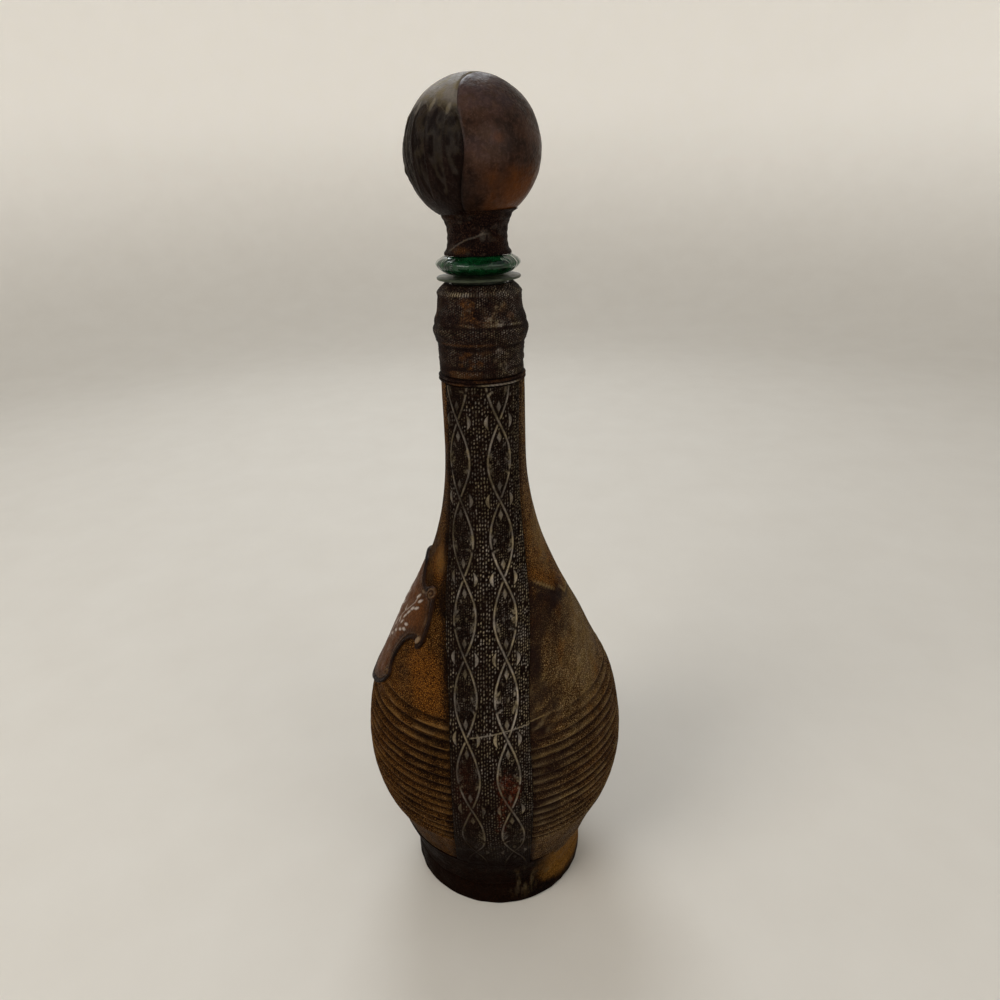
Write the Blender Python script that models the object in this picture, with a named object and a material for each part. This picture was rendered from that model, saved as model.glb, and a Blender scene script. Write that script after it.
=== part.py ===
"""A leather-wrapped glass decanter with a leather-covered ball stopper.

It stands on the XY plane with its axis on Z, its shield towards -Y and its tooled side strips on +X
and -X. Lengths are in metres and angles in degrees.
"""

import math

import bmesh
import bpy

# Leather outline of the bottle, from the ground up
FOOT_RADIUS = 0.0392
FOOT_HEIGHT = 0.012
LOWER_BULB_RISE = 0.062
BULB_RADIUS = 0.0574
SHOULDER_RISE = 0.1397
NECK_RADIUS = 0.0159
NECK_LENGTH = 0.0239
COLLAR_RADIUS = 0.0180
COLLAR_RISE = 0.0356
MOUTH_EDGE_RADIUS = 0.0128

# Share of the rise and share of the change of radius, from the foot to the widest ring
LOWER_BULB_SHARES = ((0, 0), (0.137, 0.104), (0.269, 0.269), (0.468, 0.527), (0.665, 0.813), (0.86, 0.965), (1, 1))
# The same from the widest ring to the straight neck
SHOULDER_SHARES = (
    (0, 0), (0.087, 0.017), (0.205, 0.099), (0.322, 0.282), (0.44, 0.463),
    (0.558, 0.668), (0.705, 0.865), (0.853, 0.969), (1, 1),
)
# Share of the collar's rise and share of its swell over the neck, up to the edge that turns in to the mouth
COLLAR_SHARES = ((0, 0.06), (0.33, 0.12), (0.45, 0.6), (0.53, 0.97), (0.62, 0.66), (0.74, 0.0), (0.912, -0.24))
COLLAR_GROOVE_SHARES = (0.165, 0.4, 0.59)

# Leather, and the clearance left between neighbours
LEATHER = 0.0014
FIT_GAP = 0.0003
STRIP_WIDTH = 0.0340
STRIP_RISE = 0.0003
FOOT_BAND_HEIGHT = 0.030
FOOT_BAND_RISE = 0.0003
RING_HEIGHT = 0.0026
RING_BULGE = 0.0006
COLLAR_GROOVE_DEPTH = 0.0004
COLLAR_GROOVE_REACH = 0.0006
PAD_THICKNESS = 0.0016

# Ribs pressed into the two panels
RIB_COUNT = 16
RIB_START = 0.0535
RIB_PITCH = 0.0038
RIB_DEPTH = 0.0008
RIB_LAND_SHARE = 0.3
RIBS_PER_WALL_RING = 3

# Glass bottle
GLASS_WALL = 0.0030
BORE_RADIUS = 0.0103
BORE_TAPER = 0.004
BASE_THICKNESS = 0.0045
PUNT_HEIGHT = 0.0055
HEEL_ROUND = 0.0022

# Shield on the front panel: half width across the lower tips, height, and height of its lowest point
SHIELD_HALF_WIDTH = 0.0322
SHIELD_HEIGHT = 0.0640
SHIELD_START = 0.0995
SHIELD_THICKNESS = 0.0010
SHIELD_RIM_WIDTH = 0.0016
SHIELD_RIM_RISE = 0.0008
SHIELD_CELL = 0.0068
# Right half of the outline, from the top centre down: shares of the half width and of the height
SHIELD_SHARES = (
    (0, 1), (0.12, 0.985), (0.22, 0.97), (0.3, 0.92), (0.4, 0.87), (0.5, 0.85), (0.58, 0.872), (0.66, 0.872),
    (0.735, 0.845), (0.765, 0.8), (0.82, 0.755), (0.89, 0.7), (0.965, 0.62), (1, 0.56), (0.99, 0.52),
    (0.94, 0.508), (0.88, 0.538), (0.81, 0.548), (0.72, 0.515), (0.65, 0.44), (0.63, 0.355), (0.665, 0.295),
    (0.735, 0.25), (0.68, 0.175), (0.54, 0.115), (0.36, 0.075), (0.16, 0.03),
)

# Plastic seal in the mouth
FIN_CLEARANCE = 0.0003
FIN_DEPTH = 0.0014
FIN_COUNT = 3
FIN_THICKNESS = 0.0010
FIN_PITCH = 0.0052
FIN_RAKE = 0.0007
FIN_START = 0.0080
SHANK_SHRINK = 0.0005
SHANK_DEPTH = 0.0048
SLEEVE_WALL = 0.0012
SLEEVE_DEPTH = 0.0230
SEAL_DISC_RADIUS = 0.0155
SEAL_DISC_THICKNESS = 0.0009
SEAL_DISC_LIFT = 0.0013
SEAL_TOP_RISE = 0.0004

# Glass stopper
PEG_CLEARANCE = 0.0003
PEG_WALL = 0.0025
PEG_OVERHANG = 0.0020
FLANGE_RADIUS = 0.0155
FLANGE_THICKNESS = 0.0066
# Share of the thickness and share of the radius, from the underside round the lip to the top
FLANGE_SHARES = ((0, 0.65), (0.10, 0.78), (0.30, 0.92), (0.55, 1), (0.74, 0.96), (0.89, 0.87), (1, 0.79))
STEM_LENGTH = 0.0142
STEM_RADIUS = 0.0110
WRAP_FOOT_RADIUS = 0.0121
WRAP_WAIST_SHARES = (0.3, 0.6)
BALL_RADIUS = 0.0238
BALL_OPENING_RADIUS = 0.0132
BALL_GLASS_WALL = 0.0026
BALL_STRIP_HALF = 0.0156
BALL_CROWN_HALF = 0.0045
STOPPER_TURN = -45.0

# Faces round the turned pieces and across the leather ones
BOTTLE_SIDES = 32
COLLAR_SIDES = 24
STOPPER_SIDES = 22
PANEL_COLUMNS = 12
STRIP_COLUMNS = 6
LOWER_PANEL_STEPS = 3
UPPER_PANEL_STEPS = 10
FOOT_STEPS = 3
COLLAR_STEPS = 6
PUNT_STEPS = 3
BALL_GLASS_STEPS = 9
HOLLOW_STEPS = 6
BALL_ARC_STEPS = 16
BALL_PANEL_SIDES = 24
BALL_PANEL_RINGS = 4
BALL_CELL = 20.0
SHARP_ANGLE = 40.0
MERGE_DISTANCE = 0.000001

# Heights and radii that follow from the sizes above
BULB_Z = FOOT_HEIGHT + LOWER_BULB_RISE
NECK_Z = BULB_Z + SHOULDER_RISE
COLLAR_Z = NECK_Z + NECK_LENGTH
MOUTH_Z = COLLAR_Z + COLLAR_RISE
GLASS_Z = PAD_THICKNESS + FIT_GAP
PANEL_Z = FOOT_BAND_HEIGHT + FIT_GAP
PANEL_TOP_Z = COLLAR_Z - FIT_GAP
SKIN = LEATHER + FIT_GAP
FIN_RADIUS = BORE_RADIUS - FIN_CLEARANCE
SHANK_RADIUS = FIN_RADIUS - SHANK_SHRINK
SLEEVE_RADIUS = FIN_RADIUS - FIN_DEPTH
SLEEVE_BORE = SLEEVE_RADIUS - SLEEVE_WALL
PEG_RADIUS = SLEEVE_BORE - PEG_CLEARANCE
PEG_BORE = PEG_RADIUS - PEG_WALL
SEAL_TOP = SEAL_DISC_LIFT + SEAL_DISC_THICKNESS + SEAL_TOP_RISE
STOPPER_Z = MOUTH_Z + SEAL_TOP + FIT_GAP
PEG_LENGTH = SEAL_TOP + FIT_GAP + SLEEVE_DEPTH + PEG_OVERHANG
BALL_Z = FLANGE_THICKNESS + STEM_LENGTH + math.sqrt(BALL_RADIUS**2 - BALL_OPENING_RADIUS**2)


def smooth(knots, x):
    """Value at x of the smooth curve through the knots, level at both ends."""
    slopes = [0.0]
    for before, after in zip(knots, knots[2:]):
        slopes.append((after[1] - before[1]) / (after[0] - before[0]))
    slopes.append(0.0)
    for i, (start, end) in enumerate(zip(knots, knots[1:])):
        if x <= end[0]:
            break
    span = end[0] - start[0]
    t = min(max((x - start[0]) / span, 0), 1)
    rise = (end[1] - start[1]) * t * t * (3 - 2 * t)
    return start[1] + rise + span * t * (1 - t) * (slopes[i] * (1 - t) - slopes[i + 1] * t)


def steps(start, end, count):
    """Evenly spaced values from start to end, both included."""
    return [start + (end - start) * i / count for i in range(count + 1)]


def outline_radius(z):
    """Outer radius of the leather at height z, below the collar."""
    if z <= FOOT_HEIGHT:
        return FOOT_RADIUS
    if z <= BULB_Z:
        share = smooth(LOWER_BULB_SHARES, (z - FOOT_HEIGHT) / LOWER_BULB_RISE)
        return FOOT_RADIUS + (BULB_RADIUS - FOOT_RADIUS) * share
    share = smooth(SHOULDER_SHARES, (z - BULB_Z) / SHOULDER_RISE)
    return BULB_RADIUS - (BULB_RADIUS - NECK_RADIUS) * share


def collar_radius(z):
    """Outer radius of the collar at height z, without its grooves."""
    share = (z - COLLAR_Z) / COLLAR_RISE
    shoulder = COLLAR_SHARES[-1]
    swell = COLLAR_RADIUS - NECK_RADIUS
    if share <= shoulder[0]:
        return NECK_RADIUS + swell * smooth(COLLAR_SHARES, share)
    edge = NECK_RADIUS + swell * shoulder[1]
    return edge + (MOUTH_EDGE_RADIUS - edge) * (share - shoulder[0]) / (1 - shoulder[0])


def rib_rows():
    """Heights of the panels' rows from bottom to top: (height, depth below the outline, backed by an inner row)."""
    land = RIB_PITCH * RIB_LAND_SHARE
    rows = [(z, 0, True) for z in steps(PANEL_Z, RIB_START - land, LOWER_PANEL_STEPS)]
    for rib in range(RIB_COUNT):
        z = RIB_START + rib * RIB_PITCH
        if rib:
            rows.append((z - land, 0, False))
        rows.append((z, RIB_DEPTH, False))
        rows.append((z + land, 0, rib % RIBS_PER_WALL_RING == 0))
    rows += [(z, 0, True) for z in steps(rows.pop()[0], PANEL_TOP_Z, UPPER_PANEL_STEPS)]
    return rows


def wall_heights():
    """Heights at which the glass and the inner faces of the leather share a ring, above the foot band."""
    return [z for z, depth, backed in rib_rows() if backed]


def foot_heights():
    return steps(GLASS_Z + HEEL_ROUND, FOOT_BAND_HEIGHT, FOOT_STEPS)


def collar_heights():
    """Heights at which the glass and the inner face of the collar share a ring."""
    shoulder_z = COLLAR_Z + COLLAR_RISE * COLLAR_SHARES[-1][0]
    return steps(COLLAR_Z + RING_HEIGHT + FIT_GAP, shoulder_z, COLLAR_STEPS) + [MOUTH_Z]


def at(radius, angle, z):
    return (radius * math.cos(angle), radius * math.sin(angle), z)


def clear_of_facets(radius, step):
    """Radius of the corners whose straight sides, step apart, stay outside the given radius."""
    return radius / math.cos(step / 2)


def make_material(name, colour, roughness, transmission=0.0, coat=0.0):
    material = bpy.data.materials.new(name)
    material.use_nodes = True
    shader = material.node_tree.nodes["Principled BSDF"]
    shader.inputs["Base Color"].default_value = (*colour, 1)
    shader.inputs["Roughness"].default_value = roughness
    shader.inputs["Metallic"].default_value = 0
    shader.inputs["Transmission Weight"].default_value = transmission
    shader.inputs["Coat Weight"].default_value = coat
    material.diffuse_color = (*colour, 1)
    return material


def finish(bm, name, material, parent=None):
    """Turns the mesh into an object with outward faces and smooth shading."""
    bmesh.ops.recalc_face_normals(bm, faces=bm.faces)
    mesh = bpy.data.meshes.new(name)
    bm.to_mesh(mesh)
    bm.free()
    mesh.shade_smooth()
    mesh.set_sharp_from_angle(angle=math.radians(SHARP_ANGLE))
    mesh.materials.append(material)
    obj = bpy.data.objects.new(name, mesh)
    bpy.context.scene.collection.objects.link(obj)
    obj.parent = parent
    return obj


def turned(name, outline, sides, material, parent=None):
    """Turns a closed outline of (radius, height) points about Z. Points on the axis become one."""
    bm = bmesh.new()
    corners = [bm.verts.new((radius, 0, z)) for radius, z in outline]
    on_axis = [radius == 0 for radius, z in outline]
    edges = []
    for i, corner in enumerate(corners):
        after = (i + 1) % len(corners)
        if not (on_axis[i] and on_axis[after]):
            edges.append(bm.edges.new((corner, corners[after])))
    bmesh.ops.spin(
        bm, geom=corners + edges, cent=(0, 0, 0), axis=(0, 0, 1), angle=math.tau, steps=sides, use_merge=True
    )
    bmesh.ops.remove_doubles(bm, verts=bm.verts, dist=MERGE_DISTANCE)
    return finish(bm, name, material, parent)


def skin(name, outer, inner, backing, material, parent=None):
    """Closes two grids of points into one skin. backing gives the outer row in front of each inner row."""
    bm = bmesh.new()
    front = [[bm.verts.new(point) for point in row] for row in outer]
    back = [[bm.verts.new(point) for point in row] for row in inner]
    for grid in (front, back):
        for low, high in zip(grid, grid[1:]):
            for i in range(len(low) - 1):
                bm.faces.new((low[i], low[i + 1], high[i + 1], high[i]))
    for row, behind in ((0, 0), (-1, -1)):
        for i in range(len(front[row]) - 1):
            bm.faces.new((front[row][i], front[row][i + 1], back[behind][i + 1], back[behind][i]))
    for column in (0, -1):
        for k in range(len(back) - 1):
            rim = [front[row][column] for row in range(backing[k], backing[k + 1] + 1)]
            bm.faces.new(rim + [back[k + 1][column], back[k][column]])
    return finish(bm, name, material, parent)


def glass_bottle(material):
    """A blown bottle with a domed base, a thick-rimmed mouth and an even wall."""
    foot = FOOT_RADIUS - SKIN
    outline = [(0, GLASS_Z + PUNT_HEIGHT)]
    for share in steps(0, 1, PUNT_STEPS)[1:]:
        outline.append(((foot - 2 * HEEL_ROUND) * share, GLASS_Z + PUNT_HEIGHT * (1 - share**3)))
    outline.append((foot - HEEL_ROUND, GLASS_Z))
    outline += [(outline_radius(z) - SKIN, z) for z in foot_heights() + wall_heights()]
    ring_z = COLLAR_Z + FIT_GAP
    outline.append((outline_radius(ring_z) - SKIN, ring_z))
    outline += [(collar_radius(z) - SKIN, z) for z in collar_heights()]
    outline += [(BORE_RADIUS, MOUTH_Z), (BORE_RADIUS, COLLAR_Z)]
    inner_heights = [z for z in wall_heights()[::-2] if z < COLLAR_Z - BORE_TAPER]
    outline += [(outline_radius(z) - SKIN - GLASS_WALL, z) for z in inner_heights]
    heel_z = GLASS_Z + BASE_THICKNESS
    inner_foot = foot - GLASS_WALL
    outline += [(inner_foot, heel_z + HEEL_ROUND), (inner_foot - HEEL_ROUND, heel_z)]
    outline += [(inner_foot / 2, heel_z + PUNT_HEIGHT / 2), (0, heel_z + PUNT_HEIGHT)]
    return turned("glass_bottle", outline, BOTTLE_SIDES, material)


def panel(name, facing, material):
    """A ribbed leather panel centred on the direction facing, between the two side strips."""
    rows = rib_rows()
    outer = []
    inner = []
    backing = []
    for number, (z, depth, backed) in enumerate(rows):
        radius = outline_radius(z)
        half = math.pi / 2 - (STRIP_WIDTH / 2 + FIT_GAP) / radius
        spread = steps(facing - half, facing + half, PANEL_COLUMNS)
        outer.append([at(radius - depth, angle, z) for angle in spread])
        if backed:
            back = clear_of_facets(radius - LEATHER, 2 * half / PANEL_COLUMNS)
            inner.append([at(back, angle, z) for angle in spread])
            backing.append(number)
    return skin(name, outer, inner, backing, material)


def side_strip(name, facing, material):
    outer = []
    inner = []
    for z in wall_heights():
        radius = outline_radius(z)
        half = STRIP_WIDTH / 2 / radius
        spread = steps(facing - half, facing + half, STRIP_COLUMNS)
        back = clear_of_facets(radius - LEATHER, 2 * half / STRIP_COLUMNS)
        outer.append([at(radius + STRIP_RISE, angle, z) for angle in spread])
        inner.append([at(back, angle, z) for angle in spread])
    return skin(name, outer, inner, range(len(inner)), material)


def foot_band(material):
    heights = foot_heights()
    outline = [(outline_radius(z) - LEATHER, z) for z in heights]
    outline += [(outline_radius(z) + FOOT_BAND_RISE, z) for z in reversed(heights[1:])]
    outline.append((FOOT_RADIUS, FOOT_HEIGHT / 2))
    outline.append((FOOT_RADIUS, FIT_GAP))
    outline.append((FOOT_RADIUS - LEATHER, FIT_GAP))
    return turned("foot_band", outline, BOTTLE_SIDES, material)


def base_pad(material):
    radius = FOOT_RADIUS - SKIN
    return turned(
        "base_pad", [(0, 0), (radius, 0), (radius, PAD_THICKNESS), (0, PAD_THICKNESS)], BOTTLE_SIDES, material
    )


def collar_ring(material):
    """Two rounded cords side by side, closing the lower edge of the collar."""
    inner = NECK_RADIUS - LEATHER
    bulge = NECK_RADIUS + RING_BULGE
    bottom, low, middle, high, top = steps(COLLAR_Z, COLLAR_Z + RING_HEIGHT, 4)
    outline = [(inner, bottom), (NECK_RADIUS, bottom), (bulge, low), (NECK_RADIUS, middle)]
    outline += [(bulge, high), (NECK_RADIUS, top), (inner, top)]
    return turned("collar_ring", outline, COLLAR_SIDES, material)


def neck_collar(material):
    """Leather over the neck finish, grooved round and turned in to the mouth."""
    heights = collar_heights()
    places = [(z, 0) for z in heights]
    for share in COLLAR_GROOVE_SHARES:
        z = COLLAR_Z + COLLAR_RISE * share
        places = [(other, depth) for other, depth in places if abs(other - z) > 2 * COLLAR_GROOVE_REACH]
        places += [(z - COLLAR_GROOVE_REACH, 0), (z, COLLAR_GROOVE_DEPTH), (z + COLLAR_GROOVE_REACH, 0)]
    outline = [(collar_radius(z) - depth, z) for z, depth in sorted(places)]
    outline += [(collar_radius(z) - LEATHER, z) for z in reversed(heights)]
    return turned("neck_collar", outline, COLLAR_SIDES, material)


def shield_plaque(material):
    """A moulded shield with a raised rim, drawn flat and then laid on the front panel."""
    half = [(SHIELD_HALF_WIDTH * a, SHIELD_START + SHIELD_HEIGHT * b) for a, b in SHIELD_SHARES]
    low = (0, SHIELD_START)
    loop = half + [low] + [(-a, b) for a, b in reversed(half[1:])]
    bm = bmesh.new()
    rise = bm.verts.layers.float.new("rise")
    field = bm.faces.new([bm.verts.new((a, b, 0)) for a, b in loop])
    for crest in (SHIELD_RIM_RISE, 0):
        bmesh.ops.inset_region(bm, faces=[field], thickness=SHIELD_RIM_WIDTH / 2, use_even_offset=True)
        for vert in field.verts:
            vert[rise] = crest
    columns = round(2 * SHIELD_HALF_WIDTH / SHIELD_CELL)
    lines = [((a, 0, 0), (1, 0, 0)) for a in steps(-SHIELD_HALF_WIDTH, SHIELD_HALF_WIDTH, columns)[1:-1]]
    rows = round(SHIELD_HEIGHT / SHIELD_CELL)
    lines += [((0, b, 0), (0, 1, 0)) for b in steps(SHIELD_START, SHIELD_START + SHIELD_HEIGHT, rows)[1:-1]]
    for point, normal in lines:
        geometry = bm.verts[:] + bm.edges[:] + bm.faces[:]
        bmesh.ops.bisect_plane(bm, geom=geometry, dist=MERGE_DISTANCE, plane_co=point, plane_no=normal)
    raised = bmesh.ops.extrude_face_region(bm, geom=bm.faces[:], use_keep_orig=True)["geom"]
    top = {item for item in raised if isinstance(item, bmesh.types.BMVert)}
    for vert in bm.verts:
        height = SHIELD_THICKNESS + vert[rise] if vert in top else 0
        a, b = vert.co.x, vert.co.y
        radius = outline_radius(b)
        seat = clear_of_facets(radius, SHIELD_CELL / radius) + FIT_GAP
        vert.co = at(seat + height, a / radius - math.pi / 2, b)
    return finish(bm, "shield_plaque", material)


def stopper_seal(material, parent):
    """A sleeve with raked fins for the bore and a disc that covers the mouth. Height 0 is the mouth."""
    disc_z = SEAL_DISC_LIFT
    disc_top_z = disc_z + SEAL_DISC_THICKNESS
    outline = [(SLEEVE_BORE, SEAL_TOP), (SHANK_RADIUS, SEAL_TOP), (SHANK_RADIUS, disc_top_z)]
    outline += [(SEAL_DISC_RADIUS, disc_top_z), (SEAL_DISC_RADIUS, disc_z), (SHANK_RADIUS, disc_z)]
    outline += [(SHANK_RADIUS, -SHANK_DEPTH), (SLEEVE_RADIUS, -SHANK_DEPTH - FIN_THICKNESS)]
    for fin in range(FIN_COUNT):
        z = -FIN_START - fin * FIN_PITCH
        outline += [(SLEEVE_RADIUS, z), (FIN_RADIUS, z + FIN_RAKE)]
        outline += [(FIN_RADIUS, z + FIN_RAKE - FIN_THICKNESS / 2), (SLEEVE_RADIUS, z - FIN_THICKNESS)]
    outline += [(SLEEVE_RADIUS, -SLEEVE_DEPTH), (SLEEVE_BORE, -SLEEVE_DEPTH)]
    return turned("stopper_seal", outline, STOPPER_SIDES, material, parent)


def stopper_glass(material, parent):
    """A hollow ball, stem, flange and open peg in one piece of glass. Height 0 is the flange's underside."""
    stem = STEM_RADIUS - SKIN
    ball = BALL_RADIUS - SKIN
    hollow = ball - BALL_GLASS_WALL
    outline = [(PEG_BORE, -PEG_LENGTH), (PEG_RADIUS, -PEG_LENGTH), (PEG_RADIUS, 0)]
    outline += [(FLANGE_RADIUS * b, FLANGE_THICKNESS * a) for a, b in FLANGE_SHARES]
    outline.append((stem, FLANGE_THICKNESS))
    opening = math.asin(stem / ball)
    for turn in steps(opening, math.pi, BALL_GLASS_STEPS)[:-1]:
        outline.append((ball * math.sin(turn), BALL_Z - ball * math.cos(turn)))
    outline.append((0, BALL_Z + ball))
    outline.append((0, BALL_Z + hollow))
    for turn in steps(math.pi, math.asin(PEG_BORE / hollow), HOLLOW_STEPS)[1:]:
        outline.append((hollow * math.sin(turn), BALL_Z - hollow * math.cos(turn)))
    return turned("stopper_glass", outline, STOPPER_SIDES, material, parent)


def stem_wrap(material, parent):
    """Leather round the stem, flared over the flange and under the ball."""
    start = FLANGE_THICKNESS + FIT_GAP
    end = FLANGE_THICKNESS + STEM_LENGTH - FIT_GAP
    places = [(WRAP_FOOT_RADIUS, start)]
    places += [(STEM_RADIUS, start + STEM_LENGTH * share) for share in WRAP_WAIST_SHARES]
    places.append((BALL_OPENING_RADIUS, end))
    outline = places + [(radius - LEATHER, z) for radius, z in reversed(places)]
    return turned("stem_wrap", outline, STOPPER_SIDES, material, parent)


def on_ball(radius, along, aside):
    """Point of the ball: along is measured from the crown in the strip's plane, aside away from that plane."""
    level = radius * math.cos(aside)
    return (level * math.sin(along), radius * math.sin(aside), BALL_Z + level * math.cos(along))


def ball_strip_edge(along):
    """Angle from the strip's plane to its edge."""
    half = BALL_CROWN_HALF + (BALL_STRIP_HALF - BALL_CROWN_HALF) * math.sin(along) ** 2
    return math.asin(half / BALL_RADIUS)


def stem_limit(aside):
    """Angle from the crown at which the ball's leather ends above the stem."""
    level = math.sqrt(BALL_RADIUS**2 - BALL_OPENING_RADIUS**2) / BALL_RADIUS
    return math.pi - math.acos(min(level / math.cos(aside), 1))


def ball_strip(material, parent):
    """A strip from the stem over the crown and down to the stem again."""
    back = clear_of_facets(BALL_RADIUS - LEATHER, math.radians(BALL_CELL))
    outer = []
    inner = []
    for share in steps(-1, 1, BALL_ARC_STEPS):
        row = []
        for across in steps(-1, 1, STRIP_COLUMNS):
            limit = stem_limit(across * ball_strip_edge(stem_limit(0)))
            along = share * limit
            row.append((along, across * ball_strip_edge(along)))
        outer.append([on_ball(BALL_RADIUS, along, aside) for along, aside in row])
        inner.append([on_ball(back, along, aside) for along, aside in row])
    return skin("ball_strip", outer, inner, range(len(inner)), material, parent)


def ball_panel(name, side, material, parent):
    """A round gore beside the strip, cut away for the stem."""
    gap = FIT_GAP / BALL_RADIUS
    bottom = math.asin(BALL_OPENING_RADIUS / BALL_RADIUS) + gap
    back = clear_of_facets(BALL_RADIUS - LEATHER, math.radians(BALL_CELL))
    bm = bmesh.new()
    grids = []
    for radius in (BALL_RADIUS, back):
        centre = bm.verts.new(on_ball(radius, 0, side * math.pi / 2))
        rings = []
        for ring in range(1, BALL_PANEL_RINGS + 1):
            row = []
            for along in steps(-math.pi, math.pi, BALL_PANEL_SIDES)[:-1]:
                edge = ball_strip_edge(along) + gap
                below = math.cos(math.pi - abs(along))
                if below > math.cos(bottom):
                    edge = max(edge, math.acos(math.cos(bottom) / below))
                aside = math.pi / 2 + (edge - math.pi / 2) * ring / BALL_PANEL_RINGS
                row.append(bm.verts.new(on_ball(radius, along, side * aside)))
            rings.append(row)
        for i in range(BALL_PANEL_SIDES):
            after = (i + 1) % BALL_PANEL_SIDES
            bm.faces.new((centre, rings[0][i], rings[0][after]))
            for near, far in zip(rings, rings[1:]):
                bm.faces.new((near[i], far[i], far[after], near[after]))
        grids.append(rings[-1])
    for i in range(BALL_PANEL_SIDES):
        after = (i + 1) % BALL_PANEL_SIDES
        bm.faces.new((grids[0][i], grids[0][after], grids[1][after], grids[1][i]))
    return finish(bm, name, material, parent)


def axis_empty(name, z, turn=0.0):
    """The frame of a moving body, on the bottle's axis."""
    empty = bpy.data.objects.new(name, None)
    empty.location = (0, 0, z)
    empty.rotation_euler = (0, 0, math.radians(turn))
    bpy.context.scene.collection.objects.link(empty)
    return empty


def build():
    for obj in list(bpy.data.objects):
        bpy.data.objects.remove(obj)

    glass = make_material("green_glass", (0.01, 0.16, 0.06), 0.05, transmission=0.9)
    tan = make_material("tan_leather", (0.19, 0.075, 0.016), 0.5)
    brown = make_material("brown_leather", (0.15, 0.08, 0.03), 0.5)
    tooled = make_material("tooled_leather", (0.02, 0.012, 0.009), 0.55)
    collar = make_material("collar_leather", (0.035, 0.018, 0.010), 0.55)
    foot = make_material("foot_leather", (0.03, 0.016, 0.010), 0.5)
    shield = make_material("shield_leather", (0.13, 0.06, 0.02), 0.45)
    waxed = make_material("waxed_leather", (0.07, 0.025, 0.010), 0.3, coat=0.4)
    felt = make_material("base_felt", (0.03, 0.022, 0.016), 0.95)
    plastic = make_material("grey_plastic", (0.24, 0.25, 0.22), 0.35, transmission=0.4)

    glass_bottle(glass)
    panel("front_panel", -math.pi / 2, tan)
    panel("back_panel", math.pi / 2, brown)
    side_strip("side_strip_right", 0, tooled)
    side_strip("side_strip_left", math.pi, tooled)
    neck_collar(collar)
    collar_ring(collar)
    foot_band(foot)
    base_pad(felt)
    shield_plaque(shield)

    seal_axis = axis_empty("seal_axis", MOUTH_Z)
    stopper_seal(plastic, seal_axis)

    stopper_axis = axis_empty("stopper_axis", STOPPER_Z, STOPPER_TURN)
    stopper_glass(glass, stopper_axis)
    stem_wrap(collar, stopper_axis)
    ball_strip(tooled, stopper_axis)
    ball_panel("ball_panel_back", 1, waxed, stopper_axis)
    ball_panel("ball_panel_front", -1, waxed, stopper_axis)


build()
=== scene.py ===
"""Looks of a leather-wrapped decanter with a leather-covered ball stopper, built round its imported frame.

Lengths are in metres, except where a name ends in _MM. The bottle stands on the XY plane with its axis on Z,
its shield towards -Y and its tooled side strips on +X and -X.
"""

import math

import bmesh
import bpy
import numpy as np
from mathutils import Matrix, Vector
from mathutils.geometry import delaunay_2d_cdt


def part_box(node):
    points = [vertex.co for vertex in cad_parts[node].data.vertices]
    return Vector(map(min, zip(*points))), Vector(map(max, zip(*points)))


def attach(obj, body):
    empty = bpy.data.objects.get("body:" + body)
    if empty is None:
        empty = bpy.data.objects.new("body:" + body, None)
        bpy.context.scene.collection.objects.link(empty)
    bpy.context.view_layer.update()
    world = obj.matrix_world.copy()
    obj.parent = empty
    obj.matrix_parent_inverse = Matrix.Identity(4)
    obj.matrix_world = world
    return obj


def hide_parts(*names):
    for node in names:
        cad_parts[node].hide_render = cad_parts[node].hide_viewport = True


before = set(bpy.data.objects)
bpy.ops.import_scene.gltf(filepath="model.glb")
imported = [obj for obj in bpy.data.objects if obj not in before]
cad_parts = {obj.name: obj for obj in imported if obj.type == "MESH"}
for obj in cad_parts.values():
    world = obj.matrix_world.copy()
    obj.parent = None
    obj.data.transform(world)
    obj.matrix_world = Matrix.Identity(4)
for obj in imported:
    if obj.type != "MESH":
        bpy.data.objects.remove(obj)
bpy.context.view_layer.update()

MM = 0.001
DEGREES = 57.3  # of one radian

# Leather outline of the bottle, as in the CAD source
FOOT_RADIUS = 0.0392
FOOT_HEIGHT = 0.012
LOWER_BULB_RISE = 0.062
BULB_RADIUS = 0.0574
SHOULDER_RISE = 0.1397
NECK_RADIUS = 0.0159
NECK_LENGTH = 0.0239
COLLAR_RADIUS = 0.0180
COLLAR_RISE = 0.0356
MOUTH_EDGE_RADIUS = 0.0128
LOWER_BULB_SHARES = ((0, 0), (0.137, 0.104), (0.269, 0.269), (0.468, 0.527), (0.665, 0.813), (0.86, 0.965), (1, 1))
SHOULDER_SHARES = (
    (0, 0), (0.087, 0.017), (0.205, 0.099), (0.322, 0.282), (0.44, 0.463),
    (0.558, 0.668), (0.705, 0.865), (0.853, 0.969), (1, 1),
)
COLLAR_SHARES = ((0, 0.06), (0.33, 0.12), (0.45, 0.6), (0.53, 0.97), (0.62, 0.66), (0.74, 0.0), (0.912, -0.24))
COLLAR_GROOVE_SHARES = (0.165, 0.4, 0.59)
LEATHER = 0.0014
FIT_GAP = 0.0003
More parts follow.
